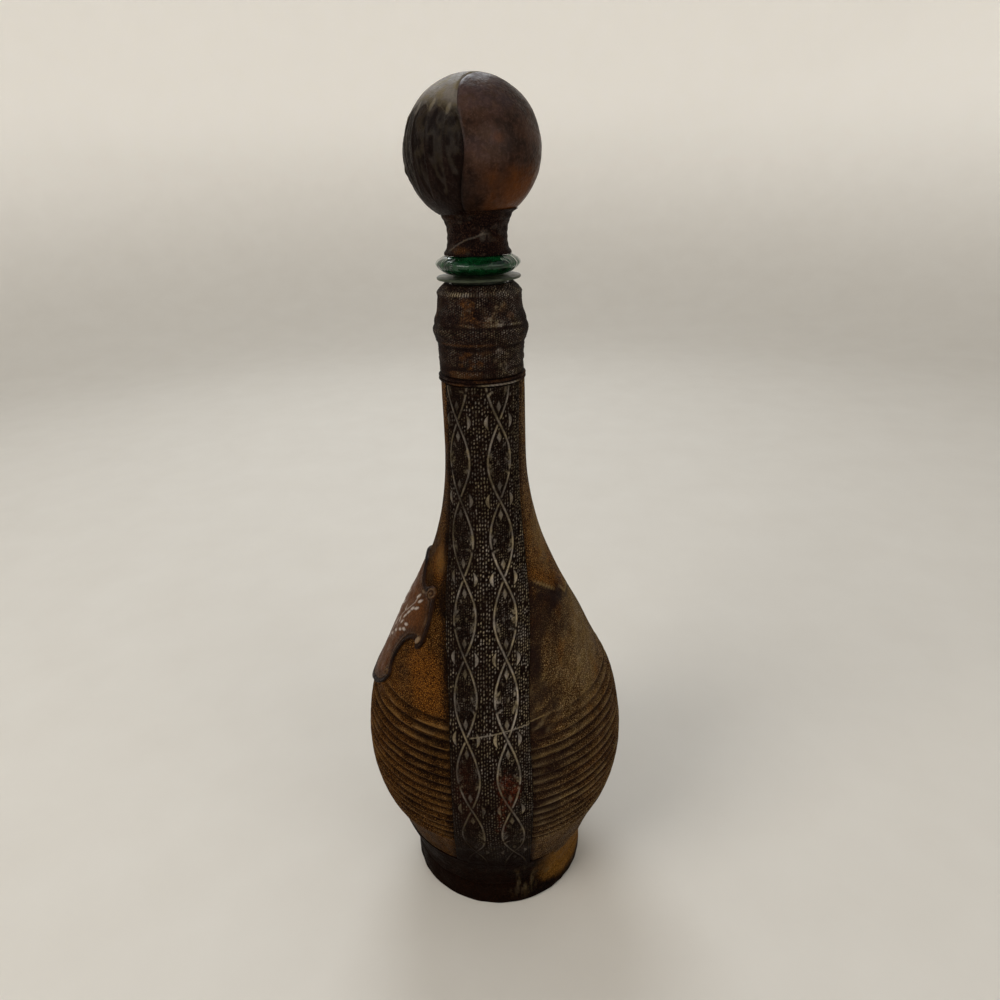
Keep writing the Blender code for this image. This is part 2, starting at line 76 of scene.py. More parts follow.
# the panels' backs and the glass lie this much deeper, so that no groove cuts through
GROOVE_ROOM = 0.0007
FOOT_BAND_HEIGHT = 0.030
RING_HEIGHT = 0.0026
RIB_COUNT = 16
RIB_START = 0.0535
RIB_PITCH = 0.0038
RIB_DEPTH = 0.0008
SHIELD_HALF_WIDTH = 0.0322
SHIELD_HEIGHT = 0.0640
SHIELD_START = 0.0995
SHIELD_THICKNESS = 0.0010
SHIELD_SHARES = (
    (0, 1), (0.12, 0.985), (0.22, 0.97), (0.3, 0.92), (0.4, 0.87), (0.5, 0.85), (0.58, 0.872), (0.66, 0.872),
    (0.735, 0.845), (0.765, 0.8), (0.82, 0.755), (0.89, 0.7), (0.965, 0.62), (1, 0.56), (0.99, 0.52),
    (0.94, 0.508), (0.88, 0.538), (0.81, 0.548), (0.72, 0.515), (0.65, 0.44), (0.63, 0.355), (0.665, 0.295),
    (0.735, 0.25), (0.68, 0.175), (0.54, 0.115), (0.36, 0.075), (0.16, 0.03),
)
FLANGE_THICKNESS = 0.0066
FLANGE_RADIUS = 0.0155
FLANGE_SHARES = ((0, 0.65), (0.10, 0.78), (0.30, 0.92), (0.55, 1), (0.74, 0.96), (0.89, 0.87), (1, 0.79))
STEM_LENGTH = 0.0142
STEM_RADIUS = 0.0110
WRAP_FOOT_RADIUS = 0.0121
BALL_RADIUS = 0.0238
BALL_OPENING_RADIUS = 0.0132
BALL_STRIP_HALF = 0.0156
BALL_CROWN_HALF = 0.0045
STOPPER_TURN = -45.0
BALL_LEAN = 0.0006

BULB_Z = FOOT_HEIGHT + LOWER_BULB_RISE
NECK_Z = BULB_Z + SHOULDER_RISE
COLLAR_Z = NECK_Z + NECK_LENGTH
MOUTH_Z = COLLAR_Z + COLLAR_RISE
BALL_Z = FLANGE_THICKNESS + STEM_LENGTH + math.sqrt(BALL_RADIUS**2 - BALL_OPENING_RADIUS**2)
STOPPER_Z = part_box("ball_strip")[1].z - BALL_Z - BALL_RADIUS


def srgb(red, green, blue):
    """Linear colour of screen values from 0 to 255."""
    return tuple(
        channel / 255 / 12.92 if channel < 11 else ((channel / 255 + 0.055) / 1.055) ** 2.4
        for channel in (red, green, blue)
    )


# ---------------------------------------------------------------- curves and noise


def smooth(knots, x):
    """Values at x of the smooth curve through the knots, level at both ends."""
    places, values = np.array(knots, float).T
    slopes = np.zeros(len(places))
    slopes[1:-1] = (values[2:] - values[:-2]) / (places[2:] - places[:-2])
    i = np.clip(np.searchsorted(places, x) - 1, 0, len(places) - 2)
    span = places[i + 1] - places[i]
    t = np.clip((x - places[i]) / span, 0, 1)
    rise = (values[i + 1] - values[i]) * t * t * (3 - 2 * t)
    return values[i] + rise + span * t * (1 - t) * (slopes[i] * (1 - t) - slopes[i + 1] * t)


def step(low, high, x):
    """0 below low, 1 above high and smooth between. high may be the smaller one."""
    t = np.clip((x - low) / (high - low), 0, 1)
    return t * t * (3 - 2 * t)


def over(below, above, share):
    """below where share is 0 and above where it is 1."""
    return below * (1 - share) + above * share


def noise(x, y, seed):
    """Smooth noise from -1 to 1, with unit cells."""
    table = np.random.default_rng(seed).uniform(-1, 1, (64, 64))
    column = np.floor(x).astype(int)
    row = np.floor(y).astype(int)
    u = step(0, 1, x - column)
    v = step(0, 1, y - row)
    low = table[column % 64, row % 64] * (1 - u) + table[(column + 1) % 64, row % 64] * u
    high = table[column % 64, (row + 1) % 64] * (1 - u) + table[(column + 1) % 64, (row + 1) % 64] * u
    return low * (1 - v) + high * v


def wander(x, seed):
    """Smooth noise along a line."""
    return noise(x, 0 * x, seed)


def rough(x, y, seed):
    """Noise of three octaves."""
    return (noise(x, y, seed) + noise(2 * x, 2 * y, seed + 1) / 2 + noise(4 * x, 4 * y, seed + 2) / 4) / 1.75


def outline_radius(z):
    """Outer radius of the leather at heights z, below the collar."""
    lower = FOOT_RADIUS + (BULB_RADIUS - FOOT_RADIUS) * smooth(LOWER_BULB_SHARES, (z - FOOT_HEIGHT) / LOWER_BULB_RISE)
    upper = BULB_RADIUS - (BULB_RADIUS - NECK_RADIUS) * smooth(SHOULDER_SHARES, (z - BULB_Z) / SHOULDER_RISE)
    return np.where(z <= BULB_Z, lower, upper)


def collar_radius(z):
    """Outer radius of the collar at heights z, without its grooves."""
    share = (z - COLLAR_Z) / COLLAR_RISE
    last, dip = COLLAR_SHARES[-1]
    swell = COLLAR_RADIUS - NECK_RADIUS
    edge = NECK_RADIUS + swell * dip
    turned_in = edge + (MOUTH_EDGE_RADIUS - edge) * (share - last) / (1 - last)
    return np.where(share <= last, NECK_RADIUS + swell * smooth(COLLAR_SHARES, share), turned_in)


def arc_length(z):
    """Length along the outline from the ground up to heights z, below the collar."""
    levels = np.linspace(0, COLLAR_Z, 2000)
    radii = outline_radius(levels)
    lengths = np.concatenate([[0], np.cumsum(np.hypot(np.diff(levels), np.diff(radii)))])
    return np.interp(z, levels, lengths)


# ---------------------------------------------------------------- meshes


def make_object(name, points, faces, values, sharp=50.0):
    """Makes a piece of PIECES, with float attributes on its points."""
    body, node, slot, material = PIECES[name]
    mesh = bpy.data.meshes.new(name)
    mesh.from_pydata(points, [], faces)
    mesh.validate()
    bm = bmesh.new()
    bm.from_mesh(mesh)
    bmesh.ops.recalc_face_normals(bm, faces=bm.faces)
    bm.to_mesh(mesh)
    bm.free()
    mesh.shade_smooth()
    mesh.set_sharp_from_angle(angle=math.radians(sharp))
    mesh.materials.append(material)
    for label, data in values.items():
        attribute = mesh.attributes.new(label, "FLOAT", "POINT")
        attribute.data.foreach_set("value", np.asarray(data, np.float32))
    obj = bpy.data.objects.new(name, mesh)
    bpy.context.scene.collection.objects.link(obj)
    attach(obj, body)
    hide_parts(node)


def unit(x):
    """x held between 0 and 1."""
    return np.clip(x, 0, 1)


def all_round(columns):
    """A row of angles that go once round."""
    return np.linspace(-math.pi, math.pi, columns + 1)[None, :-1]


def cylinder_points(radius, angle, z):
    """Points at a radius and an angle round the axis, at heights z."""
    return np.stack([radius * np.cos(angle), radius * np.sin(angle), z + 0 * angle], -1)


def quads(grid, closed):
    """Faces between the rows of a grid of point numbers. A closed grid joins its last column to its first."""
    if closed:
        grid = np.concatenate([grid, grid[:, :1]], 1)
    return np.stack([grid[:-1, :-1], grid[:-1, 1:], grid[1:, 1:], grid[1:, :-1]], -1).reshape(-1, 4).tolist()


def backing_rows(rows, every):
    """One row for every so many, and the last one."""
    picked = list(range(0, rows - 1, every))
    if rows - 1 - picked[-1] < every / 2:
        picked.pop()
    return picked + [rows - 1]


def skin(name, place, reach, behind, first, second, every, values, closed=False):
    """Makes a skin between a fine outer grid at reach and a coarse inner grid at behind.

    place gives the points for a reach and two coordinates. every is the number of outer rows to one inner row.
    """
    reach, behind, first, second = np.broadcast_arrays(reach, behind, first, second)
    rows, columns = reach.shape
    backing = backing_rows(rows, every)
    backs = len(backing)
    outer = place(reach, first, second)
    inner = place(behind[backing], first[backing], second[backing])
    front = np.arange(rows * columns).reshape(rows, columns)
    back = rows * columns + np.arange(backs * columns).reshape(backs, columns)
    faces = quads(front, closed) + quads(back, closed)
    for row in (0, -1):
        faces += quads(np.stack([front[row], back[row]]), closed)
    if not closed:
        for column in (0, -1):
            for k in range(backs - 1):
                rim = front[backing[k]:backing[k + 1] + 1, column].tolist()
                faces.append(rim + [int(back[k + 1, column]), int(back[k, column])])
    points = np.concatenate([outer.reshape(-1, 3), inner.reshape(-1, 3)])
    blank = np.zeros(backs * columns)
    filled = {label: np.concatenate([unit(data).reshape(-1), blank]) for label, data in values.items()}
    make_object(name, points.tolist(), faces, filled)


# ---------------------------------------------------------------- materials


class Look:
    """A node material with a Principled shader."""

    def __init__(self, name, **inputs):
        self.material = bpy.data.materials.new(name)
        self.material.use_nodes = True
        self.tree = self.material.node_tree
        self.shader = self.tree.nodes["Principled BSDF"]
        self.place = self.add("ShaderNodeTexCoord").outputs["Object"]
        for key, value in inputs.items():
            self.put(self.shader, key.replace("_", " "), value)

    def put(self, node, key, value):
        """Sets a node's input to a value, or links it to another node's output."""
        socket = node.inputs[key]
        if isinstance(value, bpy.types.NodeSocket):
            self.tree.links.new(value, socket)
        elif isinstance(value, tuple) and socket.type == "RGBA":
            socket.default_value = (*value, 1)
        else:
            socket.default_value = value

    def add(self, kind, inputs=None, **settings):
        """A new node with its settings and inputs."""
        node = self.tree.nodes.new(kind)
        for key, value in settings.items():
            setattr(node, key, value)
        for key, value in (inputs or {}).items():
            self.put(node, key, value)
        return node

    def value(self, name):
        """An attribute of the mesh's points."""
        return self.add("ShaderNodeAttribute", attribute_name=name).outputs["Fac"]

    def math(self, operation, first, second):
        return self.add("ShaderNodeMath", {0: first, 1: second}, operation=operation).outputs[0]

    def ramp(self, value, low, high, out_low=0.0, out_high=1.0):
        """out_low where value is below low, out_high where it is above high and smooth between."""
        inputs = {"Value": value, "From Min": low, "From Max": high, "To Min": out_low, "To Max": out_high}
        return self.add("ShaderNodeMapRange", inputs, interpolation_type="SMOOTHSTEP").outputs[0]

    def mix(self, share, first, second):
        """The first colour where share is 0 and the second where it is 1."""
        node = self.add("ShaderNodeMix", data_type="RGBA")
        self.put(node, 0, share)
        self.put(node, 6, first)
        self.put(node, 7, second)
        return node.outputs[2]

    def grain(self, size, detail=3.0, roughness=0.55, distortion=0.0):
        """Noise whose features are about size metres across."""
        inputs = {"Vector": self.place, "Scale": 1 / size, "Detail": detail, "Roughness": roughness}
        return self.add("ShaderNodeTexNoise", {**inputs, "Distortion": distortion}).outputs["Fac"]

    def pebbles(self, size, wobble=0.0):
        """Distance from the edges of cells about size metres across, whose edges wobble by that many metres."""
        vector = self.place
        if wobble:
            shift = self.add("ShaderNodeTexNoise", {"Vector": self.place, "Scale": 1 / (3 * size), "Detail": 1.0})
            inputs = {0: shift.outputs["Color"], 1: (wobble,) * 3}
            moved = self.add("ShaderNodeVectorMath", inputs, operation="MULTIPLY").outputs[0]
            vector = self.add("ShaderNodeVectorMath", {0: self.place, 1: moved}, operation="ADD").outputs[0]
        node = self.add("ShaderNodeTexVoronoi", {"Vector": vector, "Scale": 1 / size}, feature="DISTANCE_TO_EDGE")
        return node.outputs["Distance"]

    def relief(self, height, distance, strength=1.0, below=None):
        """A normal for relief distance metres high, laid over the relief below."""
        node = self.add("ShaderNodeBump", {"Height": height, "Distance": distance, "Strength": strength})
        if below is not None:
            self.put(node, "Normal", below)
        return node.outputs["Normal"]


# the colour towards which stains and painted shade darken the leather
STAIN_AND_SHADE_COLOUR = srgb(14, 6, 4)


def leather(name, deep, mid, light, worn, warm, grain=0.0009, relief=0.00022, roughness=0.55, coat=0.0, patch=0.014,
            crease_dark=0.75, sheen=0.12, contrast=1.0, even=0.55, stain_and_shade_colour=STAIN_AND_SHADE_COLOUR, paint=None):
    """Grained leather. Its attributes darken it for stains and painted shade, redden it, lighten it for wear and
    painted highlights and sheen, and cover it with paint.
    """
    look = Look(name, Coat_Weight=coat, Coat_Roughness=0.3, Specular_IOR_Level=sheen)
    stain = look.value("stain")
    cloud = look.grain(patch, 5.0, 0.6, 0.6)
    speck = look.grain(grain * 0.8, 2.0, 0.75)
    pores = look.grain(grain * 0.55, 1.0, 0.5)
    cells = look.pebbles(grain, wobble=grain * 0.6)
    crease = look.ramp(cells, 0.02, 0.20, 1.0, 0.0)
    colour = look.mix(look.ramp(cloud, 0.34, 0.66), deep, mid)
    colour = look.mix(look.math("MULTIPLY", look.ramp(speck, 0.47, 0.62), contrast), colour, light)
    warmth = look.math("MULTIPLY", look.value("warm"), look.ramp(speck, 0.3, 0.62, even, 1.0))
    colour = look.mix(warmth, colour, warm)
    colour = look.mix(look.math("MULTIPLY", crease, crease_dark), colour, tuple(c * 0.3 for c in deep))
    pits = look.math("MULTIPLY", look.ramp(pores, 0.34, 0.48, 1.0, 0.0), 0.5 * contrast)
    colour = look.mix(pits, colour, tuple(c * 0.4 for c in deep))
    colour = look.mix(look.math("MULTIPLY", stain, look.ramp(cloud, 0.3, 0.6, 1.0, 0.8)), colour, stain_and_shade_colour)
    rubbed = look.math("MULTIPLY", look.value("worn"), look.ramp(speck, 0.3, 0.58, max(0.6, even), 1.0))
    yellowed = (worn[0], worn[1] * 0.93, worn[2] * 0.7)
    colour = look.mix(rubbed, colour, look.mix(look.ramp(look.grain(0.005, 2.0), 0.42, 0.6), worn, yellowed))
    if paint:
        colour = look.mix(look.value("paint"), colour, paint)
    look.put(look.shader, "Base Color", colour)
    dull = look.ramp(look.grain(0.006, 4.0), 0.35, 0.65, roughness - 0.09, roughness + 0.11)
    look.put(look.shader, "Roughness", look.math("ADD", dull, look.math("MULTIPLY", crease, 0.1)))
    fine = look.relief(look.grain(grain * 0.35, 2.0), relief * 0.35, 0.6)
    look.put(look.shader, "Normal", look.relief(look.ramp(cells, 0.0, 0.3), relief, 0.8, fine))
    return look.material


tan_leather = leather(
    "tan leather", srgb(50, 26, 5), srgb(102, 63, 20), srgb(140, 100, 54), srgb(150, 114, 70), srgb(152, 94, 32),
    grain=0.00075, relief=0.0005, sheen=0.02, contrast=1.3, crease_dark=1.0,
)
brown_leather = leather(
    "brown leather", srgb(60, 36, 13), srgb(110, 79, 42), srgb(166, 134, 90), srgb(166, 142, 104), srgb(142, 88, 28),
    grain=0.00075, relief=0.0005, sheen=0.02, contrast=1.4, crease_dark=1.0, stain_and_shade_colour=srgb(30, 17, 15),
)
tooled_leather = leather(
    "tooled leather", srgb(10, 4, 2), srgb(19, 10, 6), srgb(40, 28, 21), srgb(164, 153, 140), srgb(84, 34, 14),
    grain=0.0008, relief=0.00010, roughness=0.55, patch=0.010, crease_dark=0.5, sheen=0.01,
)
collar_leather = leather(
    "collar leather", srgb(10, 3, 3), srgb(25, 12, 9), srgb(52, 34, 25), srgb(152, 142, 130), srgb(124, 80, 38),
    grain=0.0008, relief=0.00014, roughness=0.5, patch=0.006, crease_dark=0.6, sheen=0.025,
)
foot_leather = leather(
    "foot leather", srgb(8, 3, 1), srgb(19, 8, 3), srgb(32, 16, 8), srgb(84, 72, 54), srgb(122, 84, 34),
    grain=0.0011, relief=0.00012, roughness=0.5, patch=0.012, crease_dark=0.5, sheen=0.01,
)
shield_leather = leather(
    "shield leather", srgb(48, 24, 6), srgb(70, 40, 13), srgb(86, 54, 24), srgb(132, 112, 90), srgb(92, 50, 14),
    grain=0.0016, relief=0.00006, roughness=0.45, patch=0.010, crease_dark=0.3, sheen=0.06, contrast=0.6,
    paint=srgb(168, 158, 148),
)
waxed_leather = leather(
    "waxed leather", srgb(28, 14, 7), srgb(59, 38, 27), srgb(78, 57, 47), srgb(90, 75, 76), srgb(84, 44, 6),
    grain=0.0016, relief=0.00006, roughness=0.36, coat=0.05, patch=0.008, crease_dark=0.1, sheen=0.04, contrast=0.4,
    even=0.85,
)
ball_leather = leather(
    "ball strip leather", srgb(12, 7, 6), srgb(32, 23, 20), srgb(58, 48, 42), srgb(130, 122, 112),
    srgb(84, 42, 18), grain=0.0012, relief=0.00006, roughness=0.34, coat=0.02, patch=0.008, crease_dark=0.2,
    sheen=0.02, contrast=0.5, even=0.85,
)


def glass(name, pale, deep):
    """Pressed coloured glass with faint waves."""
    look = Look(name, Transmission_Weight=0.55, IOR=1.45, Roughness=0.015, Specular_IOR_Level=0.3)
    look.put(look.shader, "Base Color", look.mix(look.ramp(look.grain(0.004, 3.0, 0.5, 0.8), 0.35, 0.65), deep, pale))
    streaks = look.relief(look.grain(0.005, 1.0, 0.5, 1.5), 0.0012, 0.6)
    look.put(look.shader, "Normal", look.relief(look.grain(0.002, 1.0), 0.0003, 0.25, streaks))
    return look.material


def plastic(name, pale, deep):
    """Milky moulded plastic, slightly stained."""
    look = Look(name, Transmission_Weight=0.12, IOR=1.35, Specular_IOR_Level=0.4)
    look.put(look.shader, "Base Color", look.mix(look.ramp(look.grain(0.003, 4.0), 0.35, 0.65), deep, pale))
    look.put(look.shader, "Roughness", look.ramp(look.grain(0.002, 3.0), 0.3, 0.7, 0.28, 0.46))
    look.put(look.shader, "Normal", look.relief(look.grain(0.0005, 2.0), 0.00005, 0.5))
    return look.material


def pressed_felt(name, pale, deep):
    """Dull mottled felt."""
    look = Look(name, Roughness=0.95)
    look.put(look.shader, "Base Color", look.mix(look.ramp(look.grain(0.0008, 5.0, 0.7), 0.35, 0.65), deep, pale))
    look.put(look.shader, "Normal", look.relief(look.grain(0.0004, 4.0, 0.7), 0.0003, 0.8))
    return look.material


green_glass = glass("green glass", srgb(12, 84, 42), srgb(1, 34, 14))
grey_plastic = plastic("grey plastic", srgb(58, 64, 48), srgb(42, 48, 34))
felt = pressed_felt("felt", srgb(52, 42, 36), srgb(30, 24, 21))

# the body that each piece rides on, the CAD node that it stands for, its slot in the record and its material
PIECES = {
    "strip_near": ("bottle", "side_strip_right", "tooled_leather", tooled_leather),
    "strip_far": ("bottle", "side_strip_left", "tooled_leather", tooled_leather),
    "leather_panel_front": ("bottle", "front_panel", "tan_leather", tan_leather),
    "leather_panel_back": ("bottle", "back_panel", "brown_leather", brown_leather),
    "leather_foot_band": ("bottle", "foot_band", "foot_leather", foot_leather),
    "leather_collar": ("bottle", "neck_collar", "collar_leather", collar_leather),
    "thong_ring": ("bottle", "collar_ring", "collar_leather", collar_leather),
    "leather_shield": ("bottle", "shield_plaque", "shield_leather", shield_leather),
    "leather_ball_strip": ("stopper", "ball_strip", "tooled_leather", ball_leather),
    "leather_gore_back": ("stopper", "ball_panel_back", "waxed_leather", waxed_leather),
    "leather_gore_front": ("stopper", "ball_panel_front", "waxed_leather", waxed_leather),
    "leather_stem": ("stopper", "stem_wrap", "collar_leather", collar_leather),
    "bottle_glass": ("bottle", "glass_bottle", "green_glass", green_glass),
    "plastic_seal": ("seal", "stopper_seal", "grey_plastic", grey_plastic),
    "stopper_green_glass": ("stopper", "stopper_glass", "green_glass", green_glass),
    "felt_pad": ("bottle", "base_pad", "base_felt", felt),
}

# ---------------------------------------------------------------- side strips

# The strips' cut edges: height and distance from the middle line, as the hand-cut leather runs
NEAR_LEFT_MM = ((30, 16.3), (50, 15.2), (78, 14.5), (118, 14.9), (152, 17.2), (175, 16.4), (206, 15.6), (238, 15.8))
NEAR_RIGHT_MM = ((30, 16.9), (55, 17.9), (78, 18.6), (118, 17.4), (152, 18.4), (190, 16.2), (215, 16.6), (238, 17.6))
FAR_LEFT_MM = ((30, 17.2), (64, 16.4), (96, 15.6), (140, 16.8), (170, 17.6), (206, 16.2), (238, 17.0))
FAR_RIGHT_MM = ((30, 16.6), (60, 17.4), (104, 18.2), (148, 16.6), (188, 17.2), (238, 17.8))
STRIP_RISE = 0.0004
# how strongly the tooling's pale marks show, by height in mm: not at all at the bottom
PALE_MARKS_BY_HEIGHT = ((30, 0), (40, 0.2), (60, 0.40), (85, 0.60), (112, 0.95), (150, 1), (195, 0.85), (238, 0.55))
# the pattern: its two bands' distance from the middle line, a lens's length and half width, a crossing's place along
# the strip, and how far the bands shift across by height
BAND_MM = 8.05
REPEAT_MM = 31.35
LENS_HALF_MM = 4.5
CROSSING_MM = 109.6
BAND_SHIFT_MM = ((45, 2.0), (75, 1.8), (95, 0.9), (118, 0.3), (165, -0.3), (205, -1.5), (260, -1.2))
STRIP_WIDTH_MM = 34
STRIP_STEP_MM = 0.24
STRIP_ROW_MM = 0.34
# rows of dashes: distance of the rows across and along, half width and half length of a dash
MIDDLE_DASHES_MM = (1.12, 1.65, 0.23, 0.48)
EDGE_DASHES_MM = (0.92, 1.25, 0.2, 0.36)
LENS_DASHES_MM = (0.88, 1.0, 0.2, 0.26)
# a scratch over the near strip and the back panel: across and height of its start, then of its end
SCRATCH_MM = (-6.2, 106.5, 24.2, 111.7)


def scratch(s, z):
    """Distance in height from the scratch, and the share of its way, at s across and z up in millimetres."""
    from_s, from_z, to_s, to_z = SCRATCH_MM
    share = (s - from_s) / (to_s - from_s)
    return np.abs(z - (from_z + (to_z - from_z) * share)), share


def ellipse(x, y, half_x, half_y, turn=0.0):
    """1 inside an ellipse about the origin and 0 outside, with a soft edge."""
    a = x * math.cos(turn) + y * math.sin(turn)
    b = -x * math.sin(turn) + y * math.cos(turn)
    return step(1.25, 0.7, np.hypot(a / half_x, b / half_y))


def spot(x, y, centre_x, centre_y, half_x, half_y, ragged=0, limits=(1.2, 0.3)):
    """An oval spot, 1 in its middle. limits are the shares of its half sizes where it is 0 and where it is 1."""
    return step(*limits, np.hypot((x - centre_x) / half_x, (y - centre_y) / half_y) + ragged)


def almond(x, y, half_x, half_y):
    """A pointed leaf about the origin, 1 inside."""
    width = half_x * np.clip(1 - (y / half_y) ** 2, 0, 1)
    return step(0.18, -0.12, np.abs(x) - width) * (np.abs(y) < half_y)


def stroke(x, y, start, end, half, taper=0.6):
    """1 along a line from start to end, whose half width falls off by the share taper."""
    run_x, run_y = end[0] - start[0], end[1] - start[1]
    share = np.clip(((x - start[0]) * run_x + (y - start[1]) * run_y) / (run_x**2 + run_y**2), 0, 1)
    distance = np.hypot(x - start[0] - share * run_x, y - start[1] - share * run_y)
    return step(1.3, 0.6, distance / (half * (1 - taper * share)))


# strokes of the leaves inside a lens, in mm from its middle: start, end, half width, taper, wear
LENS_STROKES = (
    ((-3.9, -1.6), (-2.9, -0.2), 0.9, 0.2, 0.6),
    ((-2.9, -0.2), (-2.2, 1.0), 0.8, 0.5, 0.6),
    ((-4.3, 0.2), (-3.9, 4.4), 0.8, 0.5, 0.6),
    ((-3.4, 1.9), (-2.6, 3.2), 0.5, 0.4, 0.5),
    ((-3.0, -8.0), (-3.9, -6.2), 0.45, 0.0, 0.7),
    ((-3.8, -5.6), (-3.1, -4.5), 0.5, 0.1, 0.65),
    ((-2.6, -4.2), (-1.6, -3.9), 0.5, 0.4, 0.55),
    ((4.3, -1.2), (3.5, -2.8), 1.0, 0.1, 0.5),
    ((3.2, -3.6), (2.5, -5.2), 0.9, 0.5, 0.55),
    ((4.1, 4.8), (3.7, 3.2), 0.8, 0.1, 0.5),
    ((3.6, 2.4), (3.2, 1.2), 0.7, 0.5, 0.5),
    ((-1.9, 6.9), (-1.3, 5.6), 0.5, 0.5, 0.45),
    ((0.6, -0.6), (0.9, 0.5), 0.6, 0.4, 0.35),
)


def dashes(s, t, spacing, seed):
    """Rows of short upright dashes, 1 on a dash. The second value is a chance from 0 to 1 for each dash."""
    column_mm, row_mm, half_s, half_t = spacing
    column = np.floor(s / column_mm)
    drift = 0.5 * noise(column * 0.37, t / 14, seed) + 0.25 * (column % 2)
    row_place = t / row_mm + drift
    row = np.floor(row_place)
    chance = np.random.default_rng(seed).uniform(0, 1, (128, 512, 4))
    picked = chance[column.astype(int) % 128, row.astype(int) % 512]
    x = (s / column_mm - column - 0.5) * column_mm - 0.3 * column_mm * (picked[..., 0] - 0.5)
    y = (row_place - row - 0.5) * row_mm - 0.3 * row_mm * (picked[..., 1] - 0.5)
    size = 0.6 + 0.7 * picked[..., 3]
    shown = (picked[..., 2] * 7.13) % 1 > 0.1
    return step(1.35, 0.55, np.hypot(x / half_s, y / (half_t * size))) * shown, picked[..., 2]


def tooling(s, t, seed):
    """Height in millimetres, wear of lines and wear of dashes at s across and t along, both in millimetres."""
    phase = (t - CROSSING_MM) / REPEAT_MM
    lens = np.floor(phase)
    along = phase - lens
    swing = LENS_HALF_MM * np.sin(math.pi * phase)
    slope = LENS_HALF_MM * math.pi / REPEAT_MM * np.cos(math.pi * phase)
    middle = (along - 0.5) * REPEAT_MM
    to_crossing = np.where(along < 0.5, along, along - 1) * REPEAT_MM
    near_crossing = step(1.5, 0.7, np.minimum(along, 1 - along) * REPEAT_MM)
    over = np.where(np.floor(phase + 0.5) % 2 == 0, 1, -1)
    raised, carved, rubbed, within = np.zeros((4, *s.shape))
    flecks = step(-0.5, 0.4, rough(s / 0.75, t / 0.75, seed + 8))

    def lay(form, clearing, wear):
        """Adds a raised form, the ground that is carved away round it and its wear."""
        for grid, more in ((raised, form), (carved, clearing), (rubbed, wear)):
            np.maximum(grid, more, out=grid)

    for band in (-BAND_MM, BAND_MM):
        d = s - smooth(BAND_SHIFT_MM, t) - band + 0.25 * noise(t / 9, s * 0 + band, seed + 5)
        room = np.abs(swing) - np.abs(d)
        mirror = math.copysign(1, band) * np.where(lens % 2 == 0, 1, -1)
        for side in (-1, 1):
            distance = np.abs(d - side * swing) / np.sqrt(1 + slope**2)
            line = step(0.55, 0.18, distance)
            broken = step(1.0, 0.3, np.abs(middle + 4.2)) * (side * np.sign(swing) * mirror < 0)
            hidden = np.maximum(near_crossing * (side == over), broken)
            lay(line * (1 - 0.75 * hidden), step(1.2, 0.55, distance), 0.9 * line * (1 - 0.8 * hidden))
        for place in (-5.9, 5.9):
            drop = step(1.2, 0.75, np.abs(d) / 1.0 + np.abs(to_crossing - place) / 2.3)
            lay(0.85 * drop, ellipse(d, to_crossing - place, 1.3, 2.5), 0.7 * drop)
        for side in (-1, 1):
            bent = side * d - 4.9 + 0.11 * to_crossing**2
            leaf = almond(bent, to_crossing, 0.66, 2.9)
            lay(0.85 * leaf, almond(bent, to_crossing, 1.2, 3.6), 0.85 * leaf)
        np.maximum(within, step(0.1, 0.6, room), out=within)
        for start, end, half, taper, wear in LENS_STROKES:
            form = stroke(d * mirror, middle, start, end, half, taper) * step(-0.2, 0.2, room)
            lay(0.8 * form, 0.8 * form, 1.25 * wear * form * (0.15 + 0.85 * flecks))
    dash, chance = dashes(s, t, MIDDLE_DASHES_MM, seed)
    edge_dash, edge_chance = dashes(s, t, EDGE_DASHES_MM, seed + 3)
    fine, fine_chance = dashes(s, t, LENS_DASHES_MM, seed + 6)
    near_edge = step(11.8, 13.2, s)
    ground = dash * (0.5 + 0.5 * chance) * (1 - near_edge) + edge_dash * (0.55 + 0.45 * edge_chance) * near_edge
    cluster = step(-0.5, 0.3, rough(s / 2.2, t / 2.8, seed + 12))
    ground = ground * (1 - within) + fine * (0.3 + 0.7 * fine_chance) * (0.35 + 0.65 * cluster) * within
    ground = ground * step(0.75, 0.35, carved)
    raised = np.maximum(raised, 0.55 * ground)
    patchy = np.clip(0.85 + 0.5 * rough(s / 1.6, t / 3.2, seed + 9), 0.4, 1.1)
    return 0.22 * raised - 0.07 * carved * (1 - raised), rubbed * patchy, ground


def side_strip(name, facing, left_mm, right_mm, seed, marks=None):
    """A tooled strip, with its cut edges rounded and its pattern raised."""
    low_t, high_t = arc_length(np.array([FOOT_BAND_HEIGHT - 0.003, COLLAR_Z - FIT_GAP])) / MM
    levels = np.linspace(0, COLLAR_Z, 2000)
    t = np.linspace(low_t, high_t, round((high_t - low_t) / STRIP_ROW_MM) + 1)
    z = np.interp(t * MM, arc_length(levels), levels)[:, None]
    t = t[:, None]
    radius = outline_radius(z)
    share = np.linspace(0, 1, round(STRIP_WIDTH_MM / STRIP_STEP_MM) + 1)[None, :]
    left = -smooth(left_mm, z / MM)
    right = smooth(right_mm, z / MM)
    s = left + (right - left) * share + 0 * t
    height, lines, ground = tooling(s, t + 0 * s, seed)
    to_edge = np.minimum(s - left, right - s)
    height = height * step(0.4, 1.2, to_edge) - 0.35 * step(0.7, 0.0, to_edge)
    height = height + 0.10 * rough(s / 7, t / 7, seed + 20)
    rubbed = 0.58 + 0.42 * step(-14, 15, s) + 0.45 * rough(s / 9, t / 16, seed + 30)
    glint = np.clip(rubbed * (0.95 + 0.8 * rough(s / 2.2, t / 2.8, seed + 31)), 0.05, 1)
    worn = unit(lines * np.clip(rubbed, 0.3, 1) + ground * glint) ** 1.5 * smooth(PALE_MARKS_BY_HEIGHT, z / MM)
    # the strip is darker towards the bottom
    values = {"worn": worn, "stain": 0.95 * step(50, 37, z / MM) + 0 * s, "warm": 0 * s}
    if marks:
        marks(s, z / MM + 0 * s, values)
    reach = radius + STRIP_RISE + height * MM
    skin(name, cylinder_points, reach, radius - LEATHER, facing + s * MM / radius, z, 16, values)


